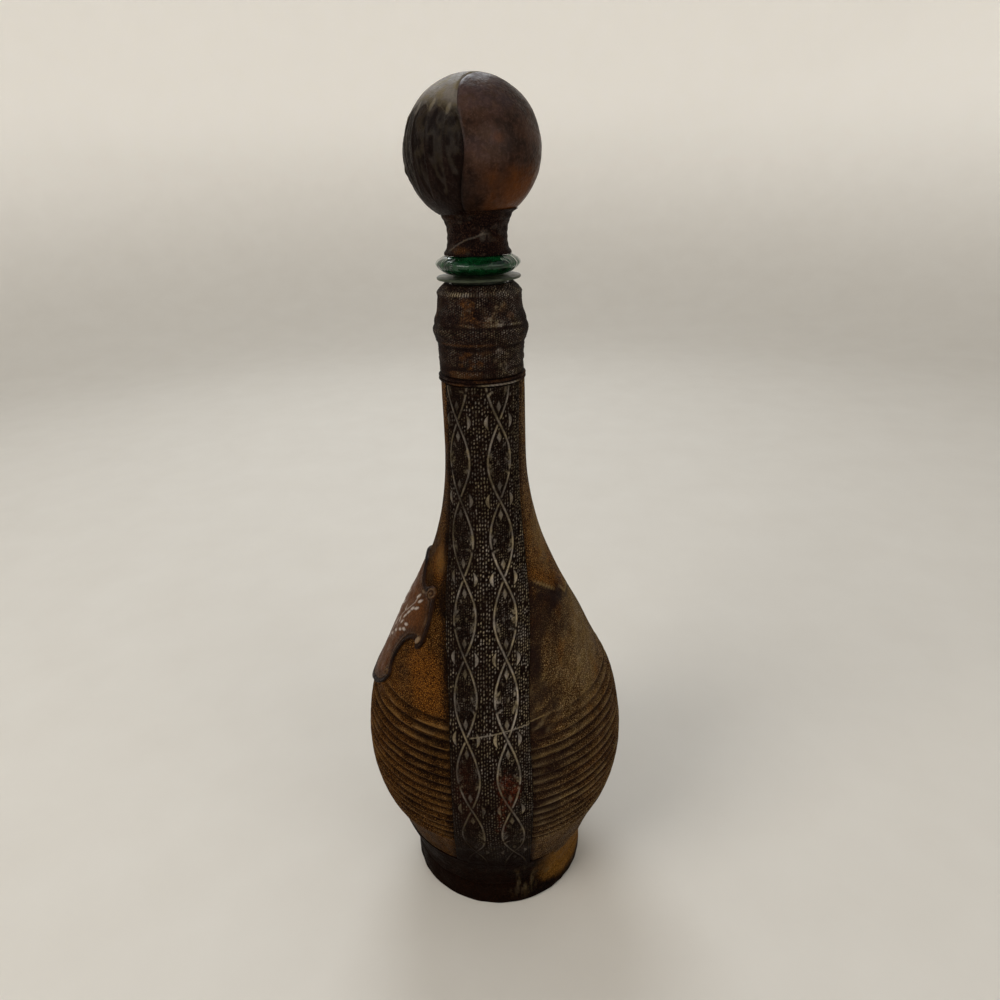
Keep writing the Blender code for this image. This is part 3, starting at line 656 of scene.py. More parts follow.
def near_strip_marks(s, z, values):
    """The near strip's red stains and its scratch."""
    edge = rough(s / 3, z / 4, 61)
    red = spot(s, z, 8.4, 84, 4.8, 10, 0.6 * edge, (1.25, 0.4))
    low_red = 0.7 * spot(s, z, 5.6, 68, 2.6, 8, 0.6 * edge, (1.25, 0.4))
    left_red = 0.16 * spot(s, z, -8.0, 84, 5.2, 15, 0.5 * edge, (1.15, 0.4))
    speckle = 0.08 + 0.8 * step(-0.3, 0.5, rough(s / 0.8, z / 0.9, 62))
    faded = 0.7 * np.maximum(spot(s, z, -8.0, 82, 7, 22, 0, (1.1, 0.5)), red)
    values["warm"] = (red + low_red + left_red) * speckle + 0.06 * faded
    away, share = scratch(s, z)
    scratched = 0.5 * step(0.3, 0.1, away) * step(-0.02, 0.02, share)
    values["worn"] = np.maximum(values["worn"] * (1 - 0.4 * faded), scratched)


# ---------------------------------------------------------------- panels

# distance between the mesh's rows, away from the ribs and on them
PLAIN_ROW = 0.0009
RIB_ROW = 0.00038


def panel(name, low_edge, high_edge, seed, marks, fading):
    """A ribbed panel between the cut edges of two strips.

    An edge is given by its strip's angle, its side of that strip, -1 or 1, and its distances by height.
    """
    rib_low = RIB_START - 0.004
    rib_high = RIB_START + RIB_PITCH * RIB_COUNT
    z = np.concatenate([
        np.arange(FOOT_BAND_HEIGHT - 0.004, rib_low, PLAIN_ROW),
        np.arange(rib_low, rib_high, RIB_ROW),
        np.linspace(rib_high, COLLAR_Z - FIT_GAP, 130),
    ])[:, None]
    radius = outline_radius(z)
    low, high = (
        facing + side * (smooth(edge_mm, z / MM) * MM + FIT_GAP) / radius
        for facing, side, edge_mm in (low_edge, high_edge)
    )
    angle = low + (high - low) * (np.linspace(-1, 1, 161)[None, :] + 1) / 2
    place = (z - RIB_START) / RIB_PITCH
    rib = np.clip(np.round(place), 0, RIB_COUNT - 1)
    s = angle * radius / MM
    off = place - rib + 0.04 * noise(s / 11, rib + 0 * s, seed)
    wave = 0.5 + 0.5 * np.cos(math.tau * np.clip(off, -0.5, 0.5))
    depth = np.maximum(1 + 0.3 * noise(s / 14, rib * 3.7 + 0 * s, seed + 2) - fading(s, rib), 0)
    groove = wave**1.6 * depth
    crown = (1 - wave) ** 2 * step(-0.6, -0.4, place) * step(RIB_COUNT - 0.4, RIB_COUNT - 0.6, place) * depth
    to_edge = np.minimum(angle - low, high - angle) * radius / MM
    height = -RIB_DEPTH / MM * 1.25 * groove + 0.22 * crown
    height = height - 0.35 * step(0.8, 0.0, to_edge) + 0.22 * rough(s / 22, z / MM / 22, seed + 3)
    # the grooves are darkened as painted shade and the crowns lightened as painted highlight
    values = {
        "stain": 0.95 * groove**1.2 * (0.85 + 0.3 * rough(s / 12, z / MM / 9, seed + 6)),
        "warm": 0 * s,
        "worn": 0.36 * crown * step(-0.3, 0.6, rough(s / 9, rib * 1.3 + z / MM / 9, seed + 9)),
    }
    height = height + marks(s, z / MM, values, to_edge)
    skin(name, cylinder_points, radius + height * MM, radius - LEATHER - GROOVE_ROOM, angle, z, 9, values)


def blot(s, z, centre_s, centre_z, half_s, half_z, seed, ragged=0.35):
    """A ragged spot, 1 in its middle."""
    return spot(s, z, centre_s, centre_z, half_s, half_z, ragged * rough(s / 6, z / 6, seed), (1.15, 0.35))


def blots(s, z, table):
    """A sum of blots, each given by its weight and blot's own values."""
    return sum(weight * blot(s, z, *row) for weight, *row in table)


def front_fading(s, rib):
    """The topmost grooves run out towards the shield."""
    return step(12.5, 15, rib) * step(-46, -62, s) * step(-170, -150, s)


def back_fading(s, rib):
    """The topmost grooves are shallower near the strip."""
    return 0.7 * step(13.6, 15, rib) * step(60, 20, s)


# the back panel's dark stains: weight, middle across and up, half width, half height, seed and raggedness
BACK_STAINS = (
    (0.85, 25, 147, 8, 8, 81, 0.6), (0.7, 36, 149, 8, 5, 82, 0.6), (0.85, 24, 109, 9, 7, 83),
    (0.45, 27, 92, 10, 10, 84), (0.7, 21, 128, 5, 13, 93, 0.6), (0.5, 40, 138, 5, 5, 94, 0.6),
    (0.4, 29, 139, 12, 11, 99, 0.5), (0.35, 26, 121, 11, 12, 101, 0.6), (0.6, 24, 70, 8, 15, 102, 0.5),
    (0.5, 23, 90, 7, 8, 103, 0.5),
)


def front_marks(s, z, values, to_edge):
    """Marks of the amber panel. s is measured from the near strip's middle, so it is negative here."""
    values["warm"] += blots(
        s, z, ((0.85, -27, 122, 14, 15, 71), (0.95, -22, 165, 6, 8, 72), (0.3, -60, 90, 30, 40, 73))
    )
    soot = step(4.6, 0.6, to_edge) * (0.75 + 0.5 * rough(s / 3, z / 7, 74)) * step(96, 112, z)
    stain = 0.75 * soot + 0.30 * step(3.0, 0.5, to_edge)
    stain = stain + 0.28 * step(118, 96, z) + 0.32 * step(142, 168, z) * step(226, 205, z)
    stain = (stain + 0.5 * blot(s, z, -26, 152, 9, 9, 75)) * (1 - 0.7 * step(208, 232, z))
    values["stain"] += stain + 0.2 * step(50, 32, z) + 0.45 * blot(s, z, -24, 102, 13, 6, 76)
    values["worn"] *= 1 + 0.9 * blot(s, z, -32, 104, 18, 9, 77)
    values["worn"] += 0.25 * blot(s, z, -22, 166, 4, 6, 78)
    return 0


def back_marks(s, z, values, to_edge):
    """Marks of the brown panel. Returns the height in millimetres of its upper piece's lap and its wrinkles."""
    stain = blots(s, z, BACK_STAINS) + 0.6 * step(2.6, 0.4, to_edge) + 0.3 * step(185, 215, z) * step(232, 212, z)
    streaked = step(-0.5, 0.5, rough(s / 3, z / 9, 95))
    beside_strip = 0.7 * step(9, 1.5, s - 17.5) * step(90, 98, z) * step(158, 150, z) * streaked
    values["stain"] += stain + 0.28 * step(110, 98, z) + 0.15 * step(50, 32, z) + beside_strip
    # the lap's edge falls away from the strip
    past = np.clip(s - 17.7, 0, None)
    fall = np.minimum(past, 22) + 18 * (1 - np.exp(-np.clip(past - 22, 0, None) / 18))
    above = z - (158.7 - 0.433 * fall + 0.9 * wander(s / 5, 85))
    upper = step(-0.4, 0.4, above)
    fade = 0.5 + 0.5 * step(70, 38, s)
    values["warm"] += 0.45 * upper * step(215, 168, z) * step(60, 30, s) + 0.4 * blot(s, z, 66, 80, 30, 40, 86)
    burnt = step(0.05, 0.5, rough(s / 7, z / 6, 97)) * step(98, 108, z)
    burnt = burnt * step(0.2, 0.6, noise(s / 14 + 3, z / 14, 98) + 0.5)
    values["warm"] += (0.5 * burnt + 0.35 * step(6, 0, np.abs(above - 3)) * upper) * step(95, 60, s)
    # a pale line along the lap's edge: painted highlight
    crease = step(0.7, 0.2, np.abs(above - 0.3)) * fade
    values["worn"] += 0.5 * crease * step(19, 24, s) * step(-0.4, 0.5, wander(s / 6, 87))
    shadow = 0.85 * step(1.3, 0.4, np.abs(above + 0.8)) + 0.45 * step(9, 0, -above) * (1 - upper)
    values["stain"] += shadow * fade
    away, share = scratch(s, z)
    values["worn"] = np.maximum(values["worn"], 0.55 * step(0.4, 0.12, away) * step(1.05, 0.95, share))
    # the pulled leather is a little paler, and lighter on the wrinkles' ridges and darker in their troughs: painted
    # highlight and shade on the relief
    wrinkle = rough((0.82 * s + 0.57 * z) / 9, (0.82 * z - 0.57 * s) / 2.4, 88)
    pulled = blots(s, z, ((1, 38, 124, 24, 22, 89), (0.8, 29, 112, 14, 8, 90)))
    pebbled = step(-0.5, 0.5, rough(s / 0.9, z / 0.9, 96))
    values["worn"] += pulled * (0.03 + 0.24 * step(0.0, 0.6, wrinkle)) * (0.3 + 0.9 * pebbled)
    values["worn"] += blots(s, z, ((0.2, 52, 128, 16, 26, 91), (0.24, 32, 176, 12, 16, 92)))
    values["stain"] += 0.55 * pulled * step(0.0, -0.6, wrinkle) * (1.2 - 0.6 * pebbled)
    return 0.3 * upper * fade + 0.35 * pulled * wrinkle


# ---------------------------------------------------------------- foot band, collar and ring


def add_foot():
    """The dark band, cut by hand to a wavy upper edge that laps over the panels."""
    angle = all_round(420)
    rows = np.linspace(0, 1, 76)[:, None]
    low = 0.3
    top = 30.2 + 1.6 * np.sin(angle - 3.6) + 0.9 * wander(angle * 3, 141)
    z = low + (top - low) * rows
    base = np.where(z < FOOT_HEIGHT / MM, FOOT_RADIUS, outline_radius(z * MM)) / MM
    degrees = np.degrees(angle) + 0 * z
    s = angle * base
    height = 0.55 + 0.22 * rough(s / 12, z / 12, 143) + 0.16 * rough(s / 5, z / 5, 142)
    flush = step(22, 46, degrees) * step(130, 100, degrees)
    height = height - 0.5 * flush * step(0.6, 0.95, rows)
    height = height - (0.75 - 0.5 * flush) * step(0.985, 1.0, rows) - 0.5 * step(0.02, 0.0, rows)
    height = height - 0.22 * step(0.9, 0.2, np.abs(z - 12.5 - 0.8 * wander(s / 9, 144)))
    gathers = 0.5 * (1 + np.sin(angle * 23 + 2 * noise(angle * 4, z / 9, 145)))
    height = height + 0.16 * gathers * step(14, 3, z)
    ragged = 0.3 * rough(degrees / 7, z / 5, 146)
    patch = step(24, 42, degrees + 12 * ragged) * step(124, 90, degrees + 20 * ragged)
    patch = patch * step(2.0, 8.5, z - 0.22 * np.clip(52 - degrees, 0, None) + 8 * ragged)
    scuffs = step(0.1, 0.5, rough(degrees / 1.9, z / 8, 147)) * blot(degrees, z, 19, 15, 14, 12, 148, 0.3)
    values = {
        "warm": patch + blots(degrees, z, ((0.6, -120, 14, 30, 9, 149), (0.5, 160, 9, 18, 8, 150))),
        # the small pale spot at the warm patch's corner is a painted highlight
        "worn": 0.6 * scuffs + 0.5 * spot(degrees, z, 37, 13.5, 2.5, 2.0, limits=(1.3, 0.5)),
        "stain": 0.6 * step(24, 30, z) * (1 - patch) + 0.4 * step(4, 0.5, z),
    }
    reach = (base + height) * MM
    skin("leather_foot_band", cylinder_points, reach, base * MM - LEATHER, angle, z * MM, 15, values, closed=True)


COLLAR_DOT_MM = 0.85
# spots of the collar's motif: degrees from the strip, share of the rise, half length and half width in mm, turn,
# share of pale
COLLAR_MOTIF = (
    (-18, 0.855, 1.9, 0.6, 0.2, 0), (-9, 0.84, 1.7, 0.6, -0.5, 0.1), (-13, 0.79, 1.0, 1.7, 0.3, 0),
    (-7, 0.755, 1.1, 0.6, 0.8, 0), (-18, 0.725, 0.7, 1.2, -0.3, 0), (-16, 0.67, 1.5, 0.9, 0.5, 0.15),
    (-4, 0.675, 1.2, 0.6, -0.4, 0), (5, 0.655, 2.5, 0.5, -0.15, 0.2), (12, 0.72, 0.6, 1.5, 0.5, 0.5),
    (22, 0.74, 0.8, 1.9, -0.5, 0.6), (24, 0.67, 1.9, 0.6, -0.5, 0.8), (34, 0.65, 1.7, 0.5, 0.3, 0.9),
    (36, 0.80, 1.5, 0.7, 0.8, 0.45), (46, 0.70, 1.2, 1.0, 0.3, 0.4), (-21, 0.31, 1.1, 0.7, 0.5, 0),
    (-12, 0.345, 1.6, 0.5, 0.2, 0), (5, 0.345, 2.3, 0.5, 0.1, 0.1), (-9, 0.27, 1.0, 0.6, -0.6, 0),
    (-24, 0.22, 1.0, 0.6, 0.2, 0), (-11, 0.195, 1.3, 0.5, 0.3, 0), (2, 0.24, 0.9, 0.8, 0.5, 0),
    (27, 0.36, 1.1, 0.7, 0.6, 0.9), (34, 0.195, 1.2, 1.0, 0.2, 0.9), (22, 0.27, 0.9, 0.6, 0.9, 0.6),
    (40, 0.31, 0.8, 0.6, 0.1, 0.7),
)


def add_collar():
    """The stippled collar, drawn in round its grooves and turned in at the mouth."""
    angle = all_round(420)
    start = COLLAR_Z + RING_HEIGHT + FIT_GAP
    z = np.concatenate([np.linspace(start, MOUTH_Z - 0.0002, 128), [MOUTH_Z]])[:, None]
    radius = collar_radius(z)
    s = angle * NECK_RADIUS / MM
    z_mm = z / MM + 0 * s
    groove = 0 * s
    for share, seed in zip(COLLAR_GROOVE_SHARES, (161, 162, 163)):
        line = (COLLAR_Z + COLLAR_RISE * share) / MM + 0.7 * wander(s / 9, seed) + 0.2 * wander(s / 2, seed + 9)
        soft = 0.7 + 0.3 * wander(s / 5, seed + 5)
        groove = np.maximum(groove, soft * step(1.2, 0.1, np.abs(z_mm - line)))
    degrees = np.degrees(angle) + 0 * z
    share = (z_mm * MM - COLLAR_Z) / COLLAR_RISE
    # the motif, three times round
    ragged_x = 0.7 * rough(s / 1.3, z_mm / 1.3, 164)
    ragged_y = 0.7 * rough(s / 1.6, z_mm / 1.6, 165)
    motif, pale_motif = np.zeros((2, *z_mm.shape))
    for place, level, half_s, half_z, turn, pale_share in COLLAR_MOTIF:
        y = (share - level) * COLLAR_RISE / MM + ragged_y
        for third in (0, 120, 240):
            x = ((degrees - place - third + 180) % 360 - 180) * COLLAR_RADIUS / MM / DEGREES + ragged_x
            form = ellipse(x, y, 1.5 * half_s, 1.8 * half_z, turn)
            motif = np.maximum(motif, form * (1 - pale_share))
            pale_motif = np.maximum(pale_motif, form * pale_share)
    broken = step(-0.35, 0.4, rough(s / 1.5, z_mm / 1.2, 174))
    motif = motif * (0.35 + 0.65 * broken)
    pale_motif = pale_motif * (0.25 + 0.75 * broken)
    raised = np.maximum(motif, pale_motif)
    # rows of dots
    chance = np.random.default_rng(166).uniform(0, 1, (256, 128, 3))
    column = np.floor(s / COLLAR_DOT_MM).astype(int)
    offset = 0.5 * (column % 2)
    row = np.floor(z_mm / COLLAR_DOT_MM + offset).astype(int)
    picked = chance[column % 256, row % 128]
    x = s / COLLAR_DOT_MM - column - 0.5 - 0.3 * (picked[..., 0] - 0.5)
    y = z_mm / COLLAR_DOT_MM + offset - row - 0.5 - 0.3 * (picked[..., 1] - 0.5)
    dot = step(1.25, 0.5, np.hypot(x, y) / 0.3) * (1 - raised) * (1 - groove) * (0.3 + 0.7 * picked[..., 2])
    height = -0.24 * groove + 0.3 * raised + 0.13 * dot + 0.16 * rough(s / 6, z_mm / 6, 167)
    height = height - 0.3 * step(0.0006, 0.0, z - start) - 0.2 * step(0.0003, 0.0, MOUTH_Z - z)
    height = height + 0.35 * step(0.86, 0.93, share) * step(1.0, 0.95, share)
    # stitches under the mouth, and the ridges between the grooves
    stitches = step(0.25, 0.75, 0.5 + 0.5 * np.sin(s * math.tau / 1.05)) * step(0.028, 0.008, np.abs(share - 0.922))
    stitches = stitches * (0.35 + 0.65 * step(-44, -34, degrees) * step(-2, -14, degrees))
    near = step(-30, -18, degrees) * step(30, 18, degrees)
    # on the right the ridge and the dots are drawn lighter: painted light
    right = step(18, 28, degrees) * step(72, 58, degrees)
    ridge = step(0.022, 0.008, np.abs(share - 0.625)) * (0.35 + 0.65 * right)
    low_ridge = step(0.018, 0.006, np.abs(share - 0.43)) * step(-60, -40, degrees) * step(30, 10, degrees)
    foot_red = step(0.165, 0.15, share) * step(-48, -40, degrees) * step(6, 2, degrees)
    pale = step(-0.2, 0.6, rough(s / 5, z_mm / 3, 168))
    flecks = step(-0.4, 0.5, rough(s / 0.7, z_mm / 0.7, 169))
    dull = 0.5 + 0.5 * step(-0.4, 0.5, rough(s / 2.6, z_mm / 2.6, 175))
    warm = 0.85 * motif * (0.3 + 0.7 * flecks) * dull + 0.25 * low_ridge + 0.25 * foot_red
    glow = np.clip(0.2 + 0.5 * pale + 0.4 * right + 0.5 * rough(s / 2.5, z_mm / 2.5, 172), 0.05, 1)
    worn = dot * glow + 0.7 * pale_motif * (0.15 + 0.85 * flecks)
    worn = worn + 0.4 * motif * (1.2 - dull) * step(0.0, 0.6, rough(s / 1.2, z_mm / 0.9, 173))
    values = {
        "worn": unit(worn + 0.7 * stitches + 0.5 * ridge * pale) ** 1.4,
        "warm": warm + 0.35 * ridge * near,
        "stain": 0.65 * groove + 0.6 * step(0.0, 0.6, rough(s / 7, z_mm / 5, 170)),
    }
    reach = radius + height * MM
    skin("leather_collar", cylinder_points, reach, radius - LEATHER, angle, z, 17, values, closed=True)


def add_ring():
    """Two twisted thongs side by side at the collar's lower edge."""
    angle = all_round(360)
    z = np.linspace(COLLAR_Z, COLLAR_Z + RING_HEIGHT, 25)[:, None]
    share = (z - COLLAR_Z) / RING_HEIGHT * 2
    within = share - np.clip(np.floor(share), 0, 1)
    cord = np.sqrt(unit(1 - (2 * within - 1) ** 2))
    twist = 0.5 + 0.5 * np.sin(angle * 62 + np.where(share < 1, 1, -1) * within * 5)
    height = -0.15 + 0.85 * cord + 0.14 * twist * cord + 0 * angle
    # the cords are lighter on their crowns, and the lower cord on the right: painted highlights. They are dark where
    # the cords meet: painted shade
    light = step(0.2, 0.7, rough(angle * 4 + 0 * z, z / MM, 181)) * step(0.6, 0.95, cord)
    right = step(-0.1, 0.15, angle) * step(1.2, 0.8, angle)
    values = {
        "worn": (0.25 * light + 0.6 * right * (share < 1)) * step(0.7, 1, cord) * (0.4 + 0.6 * twist),
        "warm": 0.3 * step(0.0, 0.5, rough(angle * 2 + 0 * z, z / MM / 3, 182)) * cord,
        "stain": 0.9 * step(0.5, 0.1, cord) + 0 * angle,
    }
    reach = NECK_RADIUS + height * MM
    skin("thong_ring", cylinder_points, reach, NECK_RADIUS - LEATHER, angle, z, 12, values, closed=True)


# ---------------------------------------------------------------- shield

SHIELD_POINT_MM = 0.55


def closed_curve(points, per_span):
    """Catmull-Rom curve through a closed loop of points."""
    points = np.array(points, float)
    before = np.roll(points, 1, 0)
    after = np.roll(points, -1, 0)
    beyond = np.roll(points, -2, 0)
    rows = []
    for t in np.linspace(0, 1, per_span, endpoint=False):
        rows.append(0.5 * (
            2 * points + (after - before) * t + (2 * before - 5 * points + 4 * after - beyond) * t**2
            + (3 * points - before - 3 * after + beyond) * t**3
        ))
    return np.stack(rows, 1).reshape(-1, 2)


def distance_to(points, loop):
    """Distance from each point to a closed line."""
    start = loop[None, :, :]
    run = np.roll(loop, -1, 0)[None, :, :] - start
    to = points[:, None, :] - start
    share = np.clip((to * run).sum(-1) / (run**2).sum(-1), 0, 1)
    return np.hypot(*np.moveaxis(to - share[..., None] * run, -1, 0)).min(1)


def inside_of(points, loop):
    """True for the points inside a closed line."""
    after = np.roll(loop, -1, 0)
    x, y = points[:, 0:1], points[:, 1:2]
    crosses = (loop[None, :, 1] > y) != (after[None, :, 1] > y)
    rise = after[:, 1] - loop[:, 1]
    rise = np.where(rise == 0, 1e-12, rise)
    at_x = loop[:, 0] + (y - loop[:, 1]) / rise * (after[:, 0] - loop[:, 0])
    return (crosses & (x < at_x)).sum(1) % 2 == 1


# leaves of the sprig's right half: place in millimetres from the shield's lowest point, and turn
SPRIG_LEAVES = (
    (14.4, 49.2, 0.9), (17.4, 48.3, 0.7), (17.8, 45.2, 0.6), (15.2, 43.7, 0.8), (14.0, 41.3, 0.9), (12.7, 38.8, 1.0),
    (17.2, 37.2, 0.3), (17.3, 34.9, 0.2), (14.4, 33.1, 0.4), (12.6, 35.8, 0.9), (9.6, 41.0, 1.9), (9.2, 35.0, 1.9),
    (10.4, 30.2, 0.5), (6.2, 31.6, 1.9), (7.4, 26.6, 0.5), (4.6, 24.0, 1.7), (2.6, 39.5, 1.0), (2.4, 44.8, 1.0),
    (2.4, 34.0, 1.0), (0.0, 51.4, 1.57),
)
# the right half's scrolls: middle and size in millimetres, and the way they turn
SHIELD_SCROLLS = ((21.4, 53.6, 3.1, 1), (20.3, 15.8, 2.3, -1))


def sprig(x, y):
    """Painted leafy sprig: cover from 0 to 1 at x and y in millimetres from the shield's lowest point."""
    side = np.abs(x)
    cover = step(0.6, 0.25, np.abs(x - 0.8 * np.sin(y / 5))) * step(14, 16, y) * step(50, 48, y)
    branch = 2 + 12.5 * unit((y - 22) / 24) ** 1.3
    branch = 0.6 * step(0.42, 0.18, 0.9 * np.abs(side - branch)) * step(21, 23, y) * step(50, 48, y)
    cover = np.maximum(cover, branch)
    for leaf_x, leaf_y, turn in SPRIG_LEAVES:
        cover = np.maximum(cover, ellipse(side - leaf_x, y - leaf_y, 1.45, 0.6, turn))
    return cover


def shield_grid():
    """Points and triangles of the flat shield, in millimetres from its lowest point, and its outline."""
    half = [(SHIELD_HALF_WIDTH / MM * a, SHIELD_HEIGHT / MM * b) for a, b in SHIELD_SHARES]
    loop = closed_curve(half + [(0, 0)] + [(-a, b) for a, b in reversed(half[1:])], 7)
    grid_x, grid_y = np.meshgrid(
        np.arange(-33, 33, SHIELD_POINT_MM), np.arange(-1, 65, SHIELD_POINT_MM * 0.87), indexing="xy"
    )
    grid_x = grid_x + SHIELD_POINT_MM / 2 * (np.arange(grid_x.shape[0]) % 2)[:, None]
    inner = np.stack([grid_x.ravel(), grid_y.ravel()], -1)
    inner = inner[inside_of(inner, loop)]
    inner = inner[distance_to(inner, loop) > SHIELD_POINT_MM * 0.55]
    given = [Vector(point) for point in np.concatenate([loop, inner]).tolist()]
    edges = [(k, (k + 1) % len(loop)) for k in range(len(loop))]
    flat, _, triangles, _, _, _ = delaunay_2d_cdt(given, edges, [], 1, 1e-6)
    return np.array([tuple(point) for point in flat]), triangles, loop


def add_shield():
    """The moulded shield: a rolled rim with scrolls and beads round a pillowed field with a painted sprig."""
    points, triangles, loop = shield_grid()
    d = distance_to(points, loop)
    x, y = points.T
    side = np.abs(x)
    dome = np.sqrt(unit(1 - ((d - 0.8) / 0.8) ** 2))
    height = 0.8 * np.where(d < 0.8, dome, step(1.6, 0.8, d))
    height = height - 0.25 * step(0.5, 0.15, np.abs(d - 1.8)) + 0.3 * step(0.5, 0.1, np.abs(d - 2.5))
    height = height + 0.25 * step(2.6, 9.0, d) + 0.12 * rough(x / 5, y / 5, 201)
    # the dark rim is the leather's stain and partly painted shadow. The dark line in the groove inside it is painted
    # shade, the field is darker near the rim, and the pale ridge, only on the top part, is a painted highlight
    lit_top = 0.35 + 0.65 * step(48, 54, y)
    worn = 0.75 * step(0.45, 0.12, np.abs(d - 2.5)) * step(-0.4, 0.3, rough(x / 4, y / 4, 202)) * lit_top
    stain = step(1.9, 1.5, d) + 0.45 * step(0.5, 0.15, np.abs(d - 1.9)) + 0.35 * step(7, 2.5, d) * (d > 1.7)
    warm = 0.8 * step(3.0, 7.0, d) * (0.7 + 0.4 * rough(x / 6, y / 6, 203))
    for centre_x, centre_y, size, way in SHIELD_SCROLLS:
        dx, dy = side - centre_x, y - centre_y
        reach = np.hypot(dx, dy)
        spiral = np.cos(math.tau * (reach / (size * 0.55)) - way * np.arctan2(dy, dx))
        inside = step(size, size * 0.8, reach)
        height = over(height, 0.45 + 0.4 * spiral + 0.3 * step(size, 0, reach), inside)
        # lighter on the spiral's ridges and darker in its troughs: painted highlight and shade
        worn = over(worn, 0.35 * step(0.2, 0.9, spiral), inside)
        stain = over(stain, 0.8 * step(0.3, -0.6, spiral), inside)
        warm = over(warm, 0, inside)
    # beads in the side tips, pale on their domes and dark round their feet: painted highlight and shade on light beads
    reach = np.hypot(side - 29.2, (y - 36.2) * 0.75) / 1.35
    dome = np.sqrt(unit(1 - reach**2))
    inside = step(1.3, 1.0, reach)
    height = over(height, 0.3 + 0.8 * dome, inside)
    worn = over(worn, 0.8 * step(0.3, 0.9, dome), inside)
    stain = over(stain, 0.9 * step(0.5, 0.0, dome), inside)
    paint = sprig(x, y) * step(2.8, 3.4, d)
    height = height + 0.18 * paint
    paint = 0.9 * paint * step(-0.8, -0.2, rough(x / 1.2, y / 1.2, 204))
    z = SHIELD_START + y * MM
    radius = outline_radius(z)
    angle = x * MM / radius - math.pi / 2
    front = cylinder_points(radius + FIT_GAP + SHIELD_THICKNESS * 0.5 + height * MM, angle, z)
    back = cylinder_points(radius + FIT_GAP * 0.5, angle, z)
    total = len(points)
    faces = [tuple(face) for face in triangles] + [tuple(total + k for k in reversed(face)) for face in triangles]
    sides = dict.fromkeys(pair for face in triangles for pair in zip(face, face[1:] + face[:1]))
    rim = [pair for pair in sides if pair[::-1] not in sides]
    faces += [(first, second, total + second, total + first) for first, second in rim]
    values = {
        label: np.concatenate([unit(data), np.zeros(total)])
        for label, data in (("worn", worn), ("stain", stain), ("warm", warm), ("paint", paint))
    }
    make_object("leather_shield", np.concatenate([front, back]).tolist(), faces, values, 70.0)


# ---------------------------------------------------------------- stopper


def on_stopper(points):
    """Turns points of the stopper's own frame into the object's."""
    turn = math.radians(STOPPER_TURN)
    x, y, z = np.moveaxis(points, -1, 0)
    return np.stack([
        x * math.cos(turn) - y * math.sin(turn), x * math.sin(turn) + y * math.cos(turn), z + STOPPER_Z
    ], -1)


def on_stem(radius, angle, z):
    """Points round the stopper's axis."""
    return on_stopper(cylinder_points(radius, angle, z))


def on_ball(radius, along, aside):
    """Points of the ball: along is measured from the crown in the strip's plane, aside away from that plane."""
    lean = math.radians(-90 - STOPPER_TURN)
    reach = np.cos(aside) * np.sin(along) * math.cos(lean) + np.sin(aside) * math.sin(lean)
    radius = radius + BALL_LEAN * reach
    level = radius * np.cos(aside)
    return on_stopper(np.stack([level * np.sin(along), radius * np.sin(aside), BALL_Z + level * np.cos(along)], -1))


def ball_strip_edge(along):
    """Angle between the strip's plane and its edge."""
    half = BALL_CROWN_HALF + (BALL_STRIP_HALF - BALL_CROWN_HALF) * np.sin(along) ** 2
    return np.arcsin(half / BALL_RADIUS)


def stem_limit(aside):
    """Angle from the crown to the ball's opening for the stem."""
    level = math.sqrt(BALL_RADIUS**2 - BALL_OPENING_RADIUS**2) / BALL_RADIUS
    return math.pi - np.arccos(np.minimum(level / np.cos(aside), 1))


# lobes of the ball's strip in millimetres: place across, start down from the crown and half width
BALL_LOBES_MM = ((-13.0, 25, 2.4), (-6.7, 23.8, 3.0), (0.0, 23.2, 3.1), (6.7, 23.8, 3.0), (13.0, 25, 2.4))
# a knob under the ball's strip: its direction, distance from the axis and depth below the ball's middle
KNOB_DEGREES = -84
KNOB_REACH = 0.0226
KNOB_DEPTH = 0.0056


